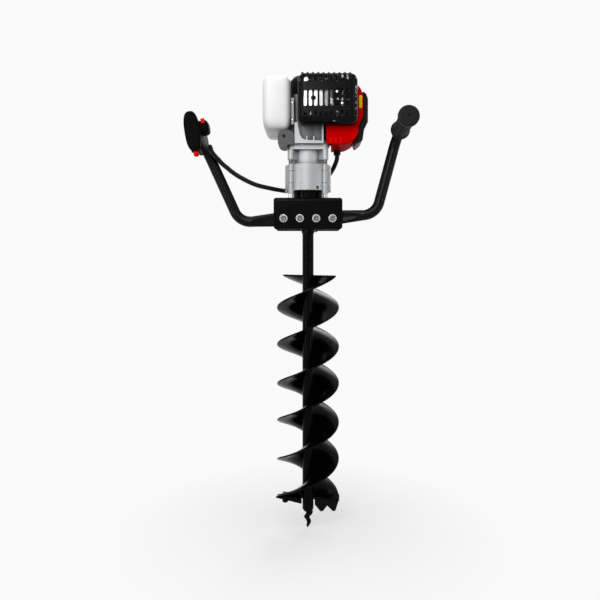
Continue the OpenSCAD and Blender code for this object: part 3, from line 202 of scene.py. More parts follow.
def shade_masked_sheet(name, bright, painted_shade):
    mat, tree, place = finish_named(name)
    split = add(tree, "SeparateXYZ", {"Vector": place})
    right = spread(tree, split.outputs["X"], 0.016, 0.058, 0.0, 1.0)
    away = reckon(tree, "ABSOLUTE", reckon(tree, "SUBTRACT", split.outputs["Z"], FACE_MIDDLE_Z))
    worst = reckon(tree, "MAXIMUM", right, spread(tree, away, 0.022, 0.030, 0.0, 1.0))
    broken = spread(tree, noise(tree, place, 8, 4.0, 0.6), 0.56, 0.64, 1.0, 0.5)
    # This mask paints shade on the metal so the slots in front look dark; its noise leaves bright flakes as painted
    # glints.
    shade_mask = reckon(tree, "MULTIPLY", worst, broken)
    return close(mat, tree, {"Base Color": mixed(tree, shade_mask, ink(bright), ink(painted_shade)), "Metallic": 0.9,
                             "Roughness": spread(tree, shade_mask, 0.0, 1.0, 0.28, 0.7)})


muffler_sheet = shade_masked_sheet("aluminised_steel_painted_shade", "#d2d3d4", "#0a0908")
print("made", muffler_sheet.name)

# %% [markdown]
# The gearbox, the clutch housing and the engine block are die-cast aluminium, shot-blasted after casting. Blasting
# leaves pits near a millimetre across, too fine to see from here, so they are drawn at a millimetre and a half. The
# ambient occlusion node darkens the colour in the inner corners, a painted shade broken up by a cloudy noise. The
# front pad of the crankcase is milled flat and light, and the rest of the crankcase is painted darker, a painted
# shade for the pocket behind the pad; the part's own depth tells them apart. The gearbox rings are turned on a lathe,
# and faint lines about four millimetres apart are left on them, wider than the real feed marks.

# %% Blasted cast aluminium
FEED_MM, PAD_Y = 4.2, -0.0545


def casting(name, colour, grime_and_shade, rough, pad=None, lathe=0.0):
    mat, tree, place = finish_named(name)
    cloud = noise(tree, place, 30, 4.0)
    # The occlusion value darkens the colour in inner corners: a painted shade, broken up by the cloud noise.
    corner = add(tree, "AmbientOcclusion", {"Distance": 0.018}, samples=8).outputs["AO"]
    painted_corner_shade = reckon(tree, "MULTIPLY", spread(tree, corner, 0.35, 0.9, 1.3, 0.0), cloud)
    tint = mixed(tree, painted_corner_shade, ink(colour), ink(grime_and_shade))
    if lathe:
        lines = add(tree, "TexWave", {"Vector": place, "Scale": 314 / FEED_MM, "Distortion": 3.0, "Detail": 3.0,
                                      "Detail Scale": 2.0}, bands_direction="Z").outputs["Fac"]
        tint = mixed(tree, spread(tree, lines, 0.0, 0.35, lathe, 0.0), tint, ink(grime_and_shade))
    # Behind PAD_Y the darker colour is a painted shade for the pocket; only the milled pad in front is light.
    if pad:
        depth = add(tree, "SeparateXYZ", {"Vector": place}).outputs["Y"]
        tint = mixed(tree, spread(tree, depth, PAD_Y - 0.0005, PAD_Y, 1.0, 0.0), tint, ink(pad))
    soft = spread(tree, cloud, 0.0, 1.0, rough - 0.08, rough + 0.12)
    pits = bumped(tree, noise(tree, place, 1.5, 4.0, 0.6), 0.18, 0.0003, soft_edge(tree, 0.001))
    return close(mat, tree, {"Base Color": tint, "Metallic": 0.3, "Roughness": soft, "Normal": pits})


bright_casting = casting("blasted_cast_aluminium", "#b6b8b9", "#302e2b", 0.4)
turned_casting = casting("turned_cast_aluminium", "#adafb0", "#302e2b", 0.36, lathe=0.13)
dull_casting = casting("raw_cast_aluminium", "#7c7e80", "#2e2c2a", 0.48)
# The crankcase is painted darker than its milled pad, a painted shade for the pocket behind it.
milled_pad_painted_shade_casting = casting("milled_pad_aluminium_painted_shade", "#5f6163", "#262422", 0.46, pad="#b4b6b7")
print("made", bright_casting.name, turned_casting.name, dull_casting.name, milled_pad_painted_shade_casting.name)

# %% [markdown]
# The covers are injection-moulded nylon and ABS. The mould is spark-eroded, so the skin has a fine even grain of
# about half a millimetre, drawn here at one millimetre so that it shows. Red covers come from a polished mould. The
# ribs, the boss and the small red controls are given a brighter red, a painted highlight. In the photograph the large
# red cover and the throttle case show hardly any white glare, so a low index of refraction weakens their reflections.

# %% Moulded plastics
def moulding(name, colour, worn, rough, grain_mm, grain, shine=0.08, ior=1.5):
    mat, tree, place = finish_named(name)
    scuff = noise(tree, place, 35, 6.0, 0.7)
    soft = spread(tree, scuff, 0.3, 0.7, rough - 0.06, rough + 0.08)
    tint = mixed(tree, spread(tree, scuff, 0.45, 0.8, 0.0, 0.35), ink(colour), ink(worn))
    eroded = bumped(tree, noise(tree, place, grain_mm, 3.0), grain, 0.0003, soft_edge(tree, 0.0014))
    return close(mat, tree, {"Base Color": tint, "Roughness": soft, "IOR": ior, "Specular IOR Level": shine,
                             "Normal": eroded})


black_nylon = moulding("moulded_black_nylon", "#0e0e0e", "#1c1c1c", 0.4, 1.0, 0.2)
guard_nylon = moulding("glossy_black_nylon", "#040404", "#0e0e0e", 0.18, 1.4, 0.1)
grip_nylon = moulding("grained_black_abs", "#0e0e0e", "#1a1a1a", 0.48, 1.0, 0.3, ior=1.12)
red_abs = moulding("polished_red_abs", SHROUD_RED, "#bc0000", 0.42, 2.5, 0.06, shine=0.5, ior=1.03)
# A brighter red for the ribs, the boss and the small controls: a painted highlight.
red_painted_highlight = moulding("red_abs_painted_highlight", "#f20404", "#e00000", 0.3, 2.5, 0.03, shine=0.05)
stand_nylon = moulding("grey_glass_filled_nylon", "#5f6062", "#76777a", 0.45, 1.2, 0.2)
yellow_vinyl = moulding("plain_yellow_vinyl", "#ffc400", "#f0b400", 0.35, 3.0, 0.04)
print("made seven plastics")

# %% [markdown]
# The tank is blow-moulded polyethylene. It lets light in, so it looks whitest where the wall faces a lamp and goes
# grey where it turns under. Subsurface scattering over several millimetres gives that, and a waxy roughness. The
# glazed ceramic of the spark plug takes light in the same way.

# %% Blow-moulded polyethylene
def waxy(name, colour, rough):
    mat, tree, place = finish_named(name)
    flow = noise(tree, place, 9, 3.0)
    soft = spread(tree, flow, 0.0, 1.0, rough - 0.06, rough + 0.08)
    return close(mat, tree, {"Base Color": ink(colour), "Roughness": soft, "IOR": 1.51, "Subsurface Weight": 0.5,
                             "Subsurface Radius": (1.0, 1.0, 0.95), "Subsurface Scale": 0.012,
                             "Normal": bumped(tree, flow, 0.08, 0.0006)})


tank_polyethylene = waxy("blow_moulded_polyethylene", "#f1f1ef", 0.36)
plug_ceramic = waxy("glazed_alumina", "#efece4", 0.2)
print("made", tank_polyethylene.name, "and", plug_ceramic.name)

# %% [markdown]
# The right grip and the cable's jacket are soft and black. Rubber is matte with a bloom that lifts its blacks, and
# extruded PVC is smoother and shows a long soft highlight. The starter rope is nylon with slanting strands.

# %% Rubber, PVC and rope
def soft_black(name, colour, bloom, rough, grain_mm, grain):
    mat, tree, place = finish_named(name)
    tint = mixed(tree, noise(tree, place, 18, 5.0), ink(colour), ink(bloom))
    pores = bumped(tree, noise(tree, place, grain_mm, 3.0), grain, 0.0003)
    return close(mat, tree, {"Base Color": tint, "Roughness": rough, "IOR": 1.52, "Specular IOR Level": 0.12,
                             "Sheen Weight": 0.05, "Normal": pores})


def braid(name, light, dark, strand_mm):
    mat, tree, place = finish_named(name)
    weave = add(tree, "TexWave", {"Vector": place, "Scale": 1000 / strand_mm / 6.3, "Distortion": 2.0,
                                  "Detail": 2.0}, bands_direction="DIAGONAL").outputs["Fac"]
    return close(mat, tree, {"Base Color": mixed(tree, weave, ink(dark), ink(light)), "Roughness": 0.8,
                             "Sheen Weight": 0.3, "Normal": bumped(tree, weave, 0.6, 0.0004)})


grip_rubber = soft_black("moulded_rubber", "#090909", "#151515", 0.55, 1.0, 0.25)
cable_pvc = soft_black("extruded_black_pvc", "#121212", "#1a1a1a", 0.38, 2.0, 0.08)
starter_braid = braid("braided_nylon", "#e6e1d3", "#a59f8f", 2.4)
print("made rubber, PVC and braid")

# %% [markdown]
# Every CAD solid takes its finish here, also those that a finer mesh replaces further on. The table says which
# finish goes on which.

# %% Finishes on the carried-over solids
FINISHES = {
    bit_coat: ["auger_tube", "bit_collar", "flight_one", "flight_two", "cutting_blades", "drill_point",
               "mounting_spacer"],
    frame_coat: ["bracket", "left_handle", "right_handle", "blade_bolts"],
    blackened_steel: ["cross_pin", "pin_clip"],
    zinc: ["gearbox_bolts", "jam_nuts", "handle_bolts", "handle_nuts"],
    worn_zinc: ["housing_screws"],
    ground_steel: ["output_shaft", "planet_pins", "planet_one", "planet_two", "planet_three", "sun_shaft",
                   "output_bearing", "input_bearing", "clutch_shoes", "crankshaft"],
    turned_casting: ["ring_gear_case", "gearbox_bottom", "gearbox_top"],
    bright_casting: ["clutch_housing"],
    dull_casting: ["flywheel", "cylinder", "carburettor"],
    milled_pad_painted_shade_casting: ["crankcase"],
    muffler_sheet: ["muffler"],
    black_nylon: ["end_cover", "recoil_housing", "starter_pulley", "starter_handle", "fuel_cap", "air_filter"],
    guard_nylon: ["muffler_guard"],
    grip_nylon: ["throttle_case_outer", "throttle_case_inner", "throttle_trigger", "lock_lever"],
    stand_nylon: ["tank_stand"],
    red_abs: ["cylinder_shroud"],
    red_painted_highlight: ["stop_switch", "half_throttle_button", "choke_lever"],
    tank_polyethylene: ["fuel_tank"],
    plug_ceramic: ["spark_plug"],
    grip_rubber: ["shaft_seal", "right_grip", "cable_gland"],
    cable_pvc: ["throttle_cable"],
    starter_braid: ["starter_rope"],
}
for finish, names in FINISHES.items():
    for name in names:
        slots = node[name].data.materials
        slots.clear()
        slots.append(finish)
print("finished", sum(map(len, FINISHES.values())), "nodes of", len(node))

# %% [markdown]
# The throttle cable is a steel wire in a smooth plastic sleeve. It leaves the throttle case, hangs in a shallow bow
# in front of the handle, passes behind the gearbox and climbs into the red shroud. The photograph shows both ends,
# so its length is the length of that run. A bevelled curve along the CAD route is the simplest true cable.

# %% Throttle cable
CABLE_ROUTE_MM = [
    (-221, -86, 183), (-219, -78, 178), (-214, -69, 171), (-207, -60, 164), (-200, -51, 156),
    (-189, -43, 147), (-175, -34, 136), (-156, -22, 125), (-126, -6, 112), (-97, 10, 106),
    (-74, 26, 103), (-57, 42, 102), (-38, 60, 103), (-14, 72, 107), (10, 74, 114),
    (32, 66, 124), (48, 54, 137), (59, 42, 151), (66, 32, 164), (70, 26, 175),
    (71, 24, 181), (71, 24, 187)]
CABLE_D = 0.011
route = [Vector(p) / 1000 for p in CABLE_ROUTE_MM]
curve = bpy.data.curves.new("throttle_sleeve", "CURVE")
curve.dimensions = "3D"
curve.bevel_depth = CABLE_D / 2
curve.bevel_resolution = 5
curve.resolution_u = 8
curve.use_fill_caps = True
line = curve.splines.new("BEZIER")
line.bezier_points.add(len(route) - 1)
for point, place in zip(line.bezier_points, route):
    point.co = place
    point.handle_left_type = point.handle_right_type = "AUTO"
cable = bpy.data.objects.new("throttle_sleeve", curve)
scene.collection.objects.link(cable)
curve.materials.append(cable_pvc)
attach(cable, "machine")
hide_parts("throttle_cable")

# %% [markdown]
# Round and moulded pieces are skins over a row of rings: a tube is the same ring carried along a bent line, and a
# turned piece is a ring that changes size along its axis. One helper joins rings with quads, and one more puts the
# mesh in the scene, shades it and hangs it on the body that it moves with. Mouldings are often squarer than a true
# round, so a power above two pushes a circle's values outward.

# %% Skin helpers
def circle(sides):
    angles = [2 * math.pi * k / sides for k in range(sides)]
    return [(math.cos(a), math.sin(a)) for a in angles]


def squarer(value, power):
    return math.copysign(abs(value) ** (2 / power), value)


def moved(x, y, z):
    return Matrix.Translation((x, y, z))


def spun(angle, axis):
    return Matrix.Rotation(angle, 4, axis)


def facing_front(x, y, z):
    return moved(x, y, z) @ spun(math.pi / 2, "X")


def skin(rings, closed=True):
    sides, last = len(rings[0]), len(rings) - 1
    points = [tuple(p) for ring in rings for p in ring]
    faces = [(i * sides + k, i * sides + (k + 1) % sides, (i + 1) * sides + (k + 1) % sides, (i + 1) * sides + k)
             for i in range(last) for k in range(sides)]
    if closed:
        faces += [tuple(range(sides)), tuple(range(last * sides, len(points)))]
    mesh = bpy.data.meshes.new("skin")
    mesh.from_pydata(points, [], faces)
    return mesh


def clean(mesh):
    work = bmesh.new()
    work.from_mesh(mesh)
    bmesh.ops.remove_doubles(work, verts=work.verts, dist=1e-6)
    bmesh.ops.recalc_face_normals(work, faces=work.faces)
    work.to_mesh(mesh)
    work.free()


def set_piece(name, mesh, finish, stands_for=(), body="machine", sharp=35):
    clean(mesh)
    mesh.name = name
    mesh.shade_smooth()
    mesh.set_sharp_from_angle(angle=math.radians(sharp))
    mesh.materials.clear()
    mesh.materials.append(finish)
    made = bpy.data.objects.new(name, mesh)
    scene.collection.objects.link(made)
    if body:
        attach(made, body)
    if stands_for:
        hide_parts(*stands_for)
    print(name, len(mesh.polygons), "faces")
    return made


def turned(profile, at, sides=72):
    return [[at @ Vector((r * c, r * s, h)) for c, s in circle(sides)] for r, h in profile]


print("skins ready")

# %% [markdown]
# Each handle is one 25 mm tube. A press crushes its inner end flat so that it bolts inside the channel, and the
# crush leaves a long dent in both flats. Outside the channel the crush fades evenly up to the bend, where the tube
# is round again, bends up, leans outward and bends towards the operator. The route repeats the CAD values in metres,
# apart from the crush, which the solid ends sooner. The dent is added to the ring.

# %% Handle tubes
BEND, LEAN, GRIP_BEND = 0.040, math.radians(20), math.radians(85.5)
TUBE, ARM_H, ARM_T = 0.025, 0.032, 0.012
ARM_AT, ARM_START, RIGHT_RISE, LEFT_RISE = (0.038, -0.046, 0.0285), -0.030, 5, -4.5
ARM_FLAT, TAPER, GRIP_LEN = 0.040, 0.052, 0.108
SQUARED, DENT, DENT_REACH = 1.2, 0.5, 0.26
LOWER_BEND = math.pi / 2 - LEAN
LOWER_TANGENT = BEND * math.tan(LOWER_BEND / 2)
UPPER_TANGENT = BEND * math.tan(GRIP_BEND / 2)
ARM_ROUND = 0.1215 - LOWER_TANGENT
STRAIGHT = 0.191 - LOWER_TANGENT - UPPER_TANGENT
MIRROR = Matrix.Scale(-1, 4, (1, 0, 0))


def past_elbow(angle):
    shift = moved(BEND * (1 - math.cos(angle)), 0, BEND * math.sin(angle))
    return shift @ spun(angle, "Y")


def arm_frame(rise):
    turn = spun(math.radians(-rise), "Y") @ spun(math.pi, "X")
    return moved(*ARM_AT) @ turn @ spun(math.pi / 2, "Y")


FOOT = moved(0, 0, ARM_ROUND)
HEAD = FOOT @ past_elbow(LOWER_BEND) @ moved(0, 0, STRAIGHT) @ spun(math.pi / 2, "Z")
GRIP = HEAD @ past_elbow(GRIP_BEND)


def bent_route():
    back = spun(-math.pi / 2, "Z")
    stops = [(moved(0, 0, z), 1.0) for z in np.linspace(ARM_START, ARM_FLAT, 8)]
    stops += [(moved(0, 0, ARM_FLAT + f * TAPER), 1 - f) for f in np.linspace(0.05, 1, 20)]
    stops += [(FOOT @ past_elbow(a), 0.0) for a in np.linspace(0, LOWER_BEND, 20)]
    stops += [(HEAD @ past_elbow(a) @ back, 0.0) for a in np.linspace(0, GRIP_BEND, 20)]
    return stops + [(GRIP @ moved(0, 0, GRIP_LEN) @ back, 0.0)]


def crushed_ring(at, crush, sides=48):
    high, thick = TUBE + crush * (ARM_H - TUBE), TUBE + crush * (ARM_T - TUBE)
    ring = []
    for c, s in circle(sides):
        u = high / 2 * squarer(c, 2 + SQUARED * crush)
        v = thick / 2 * squarer(s, 2 + SQUARED * crush)
        ring.append(at @ Vector((u, v * (1 - DENT * crush * math.exp(-(u / (DENT_REACH * high)) ** 2)), 0)))
    return ring


right_arm, left_arm = arm_frame(RIGHT_RISE), MIRROR @ arm_frame(LEFT_RISE)
for side, arm in (("right", right_arm), ("left", left_arm)):
    tube = skin([crushed_ring(arm @ at, crush) for at, crush in bent_route()])
    set_piece(side + "_tube", tube, tube_coat, [side + "_handle"])

# %% [markdown]
# The right grip is moulded rubber pushed over the tube. It has a collar at the far end, a waist for the palm with
# shallow rings, and a broad disc at the near end with a sprue dimple in the middle. A turned profile makes it.

# %% Right grip
WAIST_LOW, WAIST_HIGH, WAIST_R = 0.014, 0.096, 0.0170
RING_PITCH, RING_HIGH = 0.008, 0.0006
waist = []
for h in np.linspace(WAIST_LOW, WAIST_HIGH, 84):
    ripple = math.cos(2 * math.pi * (h - WAIST_LOW) / RING_PITCH)
    swell = math.sin(math.pi * (h - WAIST_LOW) / (WAIST_HIGH - WAIST_LOW))
    waist.append((WAIST_R + RING_HIGH * (ripple + swell), h))
collar = [(0.0127, 0.001), (0.0205, 0.001), (0.0217, 0.0018), (0.022, 0.003), (0.022, 0.0052), (0.0213, 0.0068),
          (0.0190, 0.0095), (0.0176, 0.012)]
disc = [(0.0182, 0.099), (0.0205, 0.1025), (0.0225, 0.105), (0.023, 0.1068), (0.023, 0.1133), (0.0226, 0.1152),
        (0.0214, 0.1165), (0.0198, 0.117), (0.0150, 0.1170), (0.0145, 0.1166), (0.0140, 0.1170), (0.0040, 0.1170),
        (0.0034, 0.1165), (0.0026, 0.1145), (0.0016, 0.1140), (0.0001, 0.1140)]
set_piece("right_palm_grip", skin(turned(collar + waist + disc, right_arm @ GRIP)), grip_rubber,
          ["right_grip"])

# %% [markdown]
# Some mouldings have slots and sockets that no row of rings can give. For those, one closed skin is cut with others,
# the way a toolmaker sinks cores into a block. The boolean modifier does it, and the result is kept as a plain mesh.

# %% Cutting helpers
def rough(mesh):
    clean(mesh)
    made = bpy.data.objects.new("rough", mesh)
    scene.collection.objects.link(made)
    return made


def carve(base, steps):
    for how, tool in steps:
        cut = base.modifiers.new(how, "BOOLEAN")
        cut.operation, cut.object, cut.solver = how, tool, "EXACT"
    bpy.context.view_layer.update()
    seen = base.evaluated_get(bpy.context.evaluated_depsgraph_get())
    mesh = bpy.data.meshes.new_from_object(seen)
    for used in [base] + [tool for _, tool in steps]:
        bpy.data.objects.remove(used)
    return mesh


def block(low, high, at=Matrix.Identity(4)):
    corners = [(low[0], low[1]), (high[0], low[1]), (high[0], high[1]), (low[0], high[1])]
    return rough(skin([[at @ Vector((x, y, z)) for x, y in corners] for z in (low[2], high[2])]))


def rod(radius, low, high, at=Matrix.Identity(4), sides=48):
    return rough(skin(turned([(radius, low), (radius, high)], at, sides)))


print("cutters ready")

# %% [markdown]
# The throttle case is two ABS shells screwed together round the left tube. Its section is a tall rounded oval, it
# closes with a soft dome, a tall stop in front of the hand ends it, a pod on the inboard side carries the stop
# switch, and a short boss below holds the half-throttle button. It is made whole, cut for the trigger, lever, switch
# and tube, then split.

# %% Throttle case
TILT = Matrix(((0, 0, -1, 0), (-1, 0, 0, 0), (0, 1, 0, 0), (0, 0, 0, 1)))
HAND_ROLL = math.radians(15)
CASE_W, CASE_H, CASE_POWER, DOME_POWER, BUTTON_Y = 0.0165, 0.030, 2.7, 2.4, 0.105
hand = left_arm @ GRIP @ TILT @ spun(HAND_ROLL, "Y")


def oval_run(half_w, half_h, start, end, dome, power, centre=(0, 0), sides=56, steps=36):
    rings = []
    middle, half = (start + end) / 2, (end - start) / 2
    for t in np.linspace(-1, 1, steps):
        y = middle + half * math.sin(t * math.pi / 2)
        over = max(0, abs(y - middle) - (half - dome)) / dome
        swell = max(0.02, (1 - min(over, 1) ** DOME_POWER) ** (1 / DOME_POWER))
        inset = dome * (1 - swell)
        rings.append([hand @ Vector((centre[0] + (half_w - inset) * squarer(c, power), y,
                                     centre[1] + (half_h - inset) * squarer(s, power))) for c, s in circle(sides)])
    return rough(skin(rings))


def throttle_shell(low_x, high_x):
    button = hand @ moved(0, BUTTON_Y, 0)
    steps = [("UNION", oval_run(0.0125, 0.0145, 0.066, 0.099, 0.008, 3.2, centre=(0.0205, 0.0105))),
             ("UNION", oval_run(CASE_W, 0.043, 0.100, 0.118, 0.009, CASE_POWER)),
             ("UNION", rod(0.009, -0.0432, -0.012, button)),
             ("DIFFERENCE", rod(0.01256, -0.02, 0.1082, hand @ spun(-math.pi / 2, "X"))),
             ("DIFFERENCE", block((-0.00625, 0.03125, -0.08), (0.00625, 0.09425, -0.01625), hand)),
             ("DIFFERENCE", block((-0.00625, 0.031, 0.01625), (0.00625, 0.10275, 0.08), hand)),
             ("DIFFERENCE", rod(0.00605, -0.044, -0.033, button)),
             ("DIFFERENCE", block((0.01725, 0.08225, 0.01725), (0.02675, 0.09975, 0.05), hand)),
             ("INTERSECT", block((low_x, -0.05, -0.1), (high_x, 0.2, 0.1), hand))]
    return carve(oval_run(CASE_W, CASE_H, 0.004, 0.112, 0.0145, CASE_POWER), steps)


for side, low_x, high_x, solid in (("outboard", -0.1, -0.0002, "throttle_case_outer"),
                                   ("inboard", 0.0002, 0.1, "throttle_case_inner")):
    set_piece("throttle_shell_" + side, throttle_shell(low_x, high_x), grip_nylon, [solid])

# %% [markdown]
# Three pan-head screws, sunk a little into the outboard side, hold the two shells together, and the trigger and the
# lock lever turn on short steel pins that the shells carry.

# %% Throttle screws and hinge pins
SCREW_SPOTS = [(0.022, 0.018, 0.0), (0.062, -0.0185, 0.0), (0.106, 0.0, 0.0003)]
SUNK, CROSS_LONG, CROSS_WIDE = 0.0004, 0.0025, 0.0004
head_profile = [(0.0001, 0.0), (0.0030, 0.0), (0.0032, 0.0006), (0.0029, 0.0015), (0.0018, 0.0021), (0.0001, 0.0022)]
for number, (y, z, deeper) in enumerate(SCREW_SPOTS):
    face = CASE_W * (1 - (abs(z) / CASE_H) ** CASE_POWER) ** (1 / CASE_POWER) - deeper
    seat = hand @ moved(-face + SUNK, y, z) @ spun(-math.pi / 2, "Y")
    cross = [("DIFFERENCE", block((-long, -wide, 0.0010), (long, wide, 0.003), seat))
             for long, wide in ((CROSS_LONG, CROSS_WIDE), (CROSS_WIDE, CROSS_LONG))]
    head = rough(skin(turned(head_profile, seat, 32)))
    set_piece(f"throttle_screw_{number + 1}", carve(head, cross), zinc)
pin = [(0.0016, -0.0062), (0.00195, -0.0058), (0.00195, 0.0058), (0.0016, 0.0062)]
for name, y, z in (("trigger_pin", 0.038, -0.023), ("lever_pin", 0.096, 0.023)):
    spot = hand @ moved(0, y, z) @ spun(math.pi / 2, "Y")
    set_piece(name, skin(turned(pin, spot, 32)), ground_steel)

# %% [markdown]
# The tank is a soft-cornered box, blown inside a two-part mould. Its corners are fuller than a plain round and
# softer at the foot than at the top, its inner side is scooped to clear the fan chamber, and the two halves of the
# mould leave a thin raised line round it. A row of superellipse rings gives the box, and a cylinder cuts the scoop.

# %% Fuel tank
TANK_LOW, TANK_HIGH = (-0.107, -0.060, 0.232), (-0.039, 0.095, 0.360)
TANK_PLAN, TANK_TOP, TANK_FOOT = 6, (7, 14), (4.5, 7)
CAP_AT, SCOOP_R = (-0.077, 0.053), 0.055
SEAM_Y, SEAM_R = 0.0175, 0.0005
centre = [(a + b) / 2 for a, b in zip(TANK_LOW, TANK_HIGH)]
half = [(b - a) / 2 for a, b in zip(TANK_LOW, TANK_HIGH)]


def soft_box(steps=64, sides=88):
    rings = []
    for t in np.linspace(-1, 1, steps):
        rise = math.sin(t * math.pi / 2)
        powers = TANK_TOP if rise > 0 else TANK_FOOT
        side, front = [max(0.01, (1 - abs(rise) ** p) ** (1 / p)) for p in powers]
        rings.append([(centre[0] + side * half[0] * squarer(c, TANK_PLAN),
                       centre[1] + front * half[1] * squarer(s, TANK_PLAN), centre[2] + rise * half[2])
                      for c, s in circle(sides)])
    return rings


neck = rod(0.017, 0.355, 0.368, moved(*CAP_AT, 0))
tank = carve(rough(skin(soft_box())), [("UNION", neck), ("DIFFERENCE", rod(SCOOP_R, 0.2, 0.4, sides=96))])
set_piece("blown_tank", tank, tank_polyethylene, ["fuel_tank"], sharp=28)

seam_rings = []
for turn in np.linspace(0, 2 * math.pi, 97):
    c, s = math.cos(turn), math.sin(turn)
    power = TANK_TOP[0] if s > 0 else TANK_FOOT[0]
    place = Vector((centre[0] + (half[0] + 0.0001) * squarer(c, power), SEAM_Y,
                    centre[2] + (half[2] + 0.0001) * squarer(s, power)))
    seam_rings.append([place + SEAM_R * Vector((u * c, v, u * s)) for u, v in circle(8)])
seam = carve(rough(skin(seam_rings, closed=False)), [("DIFFERENCE", rod(SCOOP_R + 0.0006, 0.2, 0.4, sides=96))])
set_piece("tank_mould_line", seam, tank_polyethylene)

# %% [markdown]
# The red shroud is a polished ABS moulding, cut from an outline that swells to the right. Its outline is drawn as
# straight runs, each corner is rounded with a short arc, and the front and back edges step in through six rings so
# that the light rolls over them. The inside is hollow and open towards the crankcase.

# %% Cylinder shroud
SHROUD_MM = [(42, 198), (85, 199), (94, 202), (109, 211), (116.5, 224), (116.5, 244), (127, 260), (127, 313),
             (121.5, 329), (111, 339), (82, 348), (42, 348)]
WALL, BACK, FRONT, PLUG_Z = 0.0025, 0.054, -0.062, 0.286


def rounded(points, radius, steps=5):
    out = []
    for i, here in enumerate(points):
        here, before, after = Vector(here), Vector(points[i - 1]), Vector(points[(i + 1) % len(points)])
        reach = min(radius, 0.45 * (before - here).length, 0.45 * (after - here).length)
        a = here + (before - here).normalized() * reach
        b = here + (after - here).normalized() * reach
        out += [a.lerp(here, t).lerp(here.lerp(b, t), t) for t in np.linspace(0, 1, steps)]
    return out


def shroud_outline(wall):
    points = [Vector(p) / 1000 for p in SHROUD_MM]
    sides = [(b - a).orthogonal().normalized() for a, b in zip(points, points[1:] + points[:1])]
    return [p + (before + after) * (wall / (1 + before.dot(after)))
            for p, before, after in zip(points, sides[-1:] + sides[:-1], sides)]


def slab(outline, y_low, y_high, roll):
    middle = sum(outline, Vector((0, 0))) / len(outline)
    size = max((p - middle).length for p in outline)
    edge = [(1 - roll / size * (1 - math.sqrt(1 - (1 - t) ** 2)), roll * t) for t in np.linspace(0, 1, 6)]
    places = [(s, y_low + d) for s, d in edge] + [(s, y_high - d) for s, d in reversed(edge)]
    return skin([[(middle.x + s * (p.x - middle.x), y, middle.y + s * (p.y - middle.y)) for p in outline]
                 for s, y in places])


outer = rough(slab(rounded(shroud_outline(0), 0.010), FRONT, BACK, 0.004))
inner = rough(slab(rounded(shroud_outline(WALL), 0.008), FRONT + WALL, BACK - WALL, 0.002))
plug_way = moved(0, 0, PLUG_Z) @ spun(math.pi / 2, "Y")
cutters = [inner, block((0.0, -0.067, 0.255), (0.101, -0.057, 0.341)),
           block((0.046, 0.049, 0.267), (0.084, 0.059, 0.305)),
           block((0.0, -0.063, 0.318), (0.0435, 0.055, 0.350)), rod(0.018, 0.122, 0.132, plug_way),
           block((0.041, -0.0595, 0.2015), (0.0455, 0.0515, 0.3445)),
           block((0.037, -0.0595, 0.193), (0.057, 0.0605, 0.215))]
shroud = carve(outer, [("DIFFERENCE", tool) for tool in cutters])
set_piece("red_shroud", shroud, red_abs, ["cylinder_shroud"], sharp=25)

# %% [markdown]
# Three short ribs and one round boss stand on the front of the shroud, and a bare yellow patch of vinyl is stuck on
# the strip beside the guard. The real one carries a print that this part leaves off, so the patch stays plain.

# %% Shroud trim
RIB_X, RIB_HALF, LOW, HIGH = (0.053, 0.0645, 0.076), 0.0018, 0.200, 0.214
# The ribs and the boss take the brighter red, a painted highlight.
for number, x in enumerate(RIB_X):
    left, right = x - RIB_HALF, x + RIB_HALF
    rib = rounded([(left, LOW), (right, LOW), (right, HIGH), (left, HIGH)], 0.0015)
    set_piece(f"shroud_rib_{number + 1}", slab(rib, -0.0636, -0.060, 0.001), red_painted_highlight)
boss = [(0.0001, 0.0), (0.0022, 0.0), (0.0022, 0.0024), (0.0017, 0.0032), (0.0001, 0.0035)]
set_piece("shroud_boss", skin(turned(boss, facing_front(0.0828, -0.0605, 0.226), 32)), red_painted_highlight)
patch = rounded([(0.1175, 0.282), (0.1248, 0.282), (0.1248, 0.294), (0.1236, 0.2965), (0.1248, 0.299),
                 (0.1248, 0.311), (0.1175, 0.311)], 0.002)
set_piece("yellow_patch", slab(patch, -0.0624, -0.0612, 0.0003), yellow_vinyl)

# %% [markdown]
# The flights are strips of plate that a press winds round the tube. The real surface is smooth, so each is skinned
# every three degrees, with a small round on the rim where the soil polishes it.

# %% Spiral flights
FLIGHT_TOP, FLIGHT_LEN, LEAD = -0.107, 0.542, 0.184
R_IN, R_OUT, PLATE = 0.01355, 0.075, 0.004
TURN = 2 * math.pi * FLIGHT_LEN / LEAD
FLIGHTS = {"flight_one": -28, "flight_two": 145.5}
under = [(R_IN, -0.5), (0.03, -0.5), (0.05, -0.5), (R_OUT - 0.0012, -0.5), (R_OUT - 0.0003, -0.36), (R_OUT, -0.12)]
section = under + [(r, -h) for r, h in reversed(under)]


def flight_rings(start):
    rings = []
    for f in np.linspace(0, 1, int(math.degrees(TURN) / 3)):
        a = start - TURN * (1 - f)
        z = FLIGHT_TOP - FLIGHT_LEN * (1 - f)
        rings.append([(r * math.cos(a), r * math.sin(a), z + h * PLATE) for r, h in section])
    return rings


for name, degrees in FLIGHTS.items():
    set_piece(name + "_plate", skin(flight_rings(math.radians(degrees))), bit_coat, [name],
              body="bit", sharp=40)

# %% [markdown]
# The muffler guard is a deep black nylon cap with round corners. Nine tall slots cross its face, a row of short
# ones runs over the top edge and another along the foot, and half-round ribs between the top slots stiffen it. The
# cap is a skin of rings from the back rim to the domed front, hollowed by a smaller copy, and all slots are cut at
# once because their cutters are one mesh.

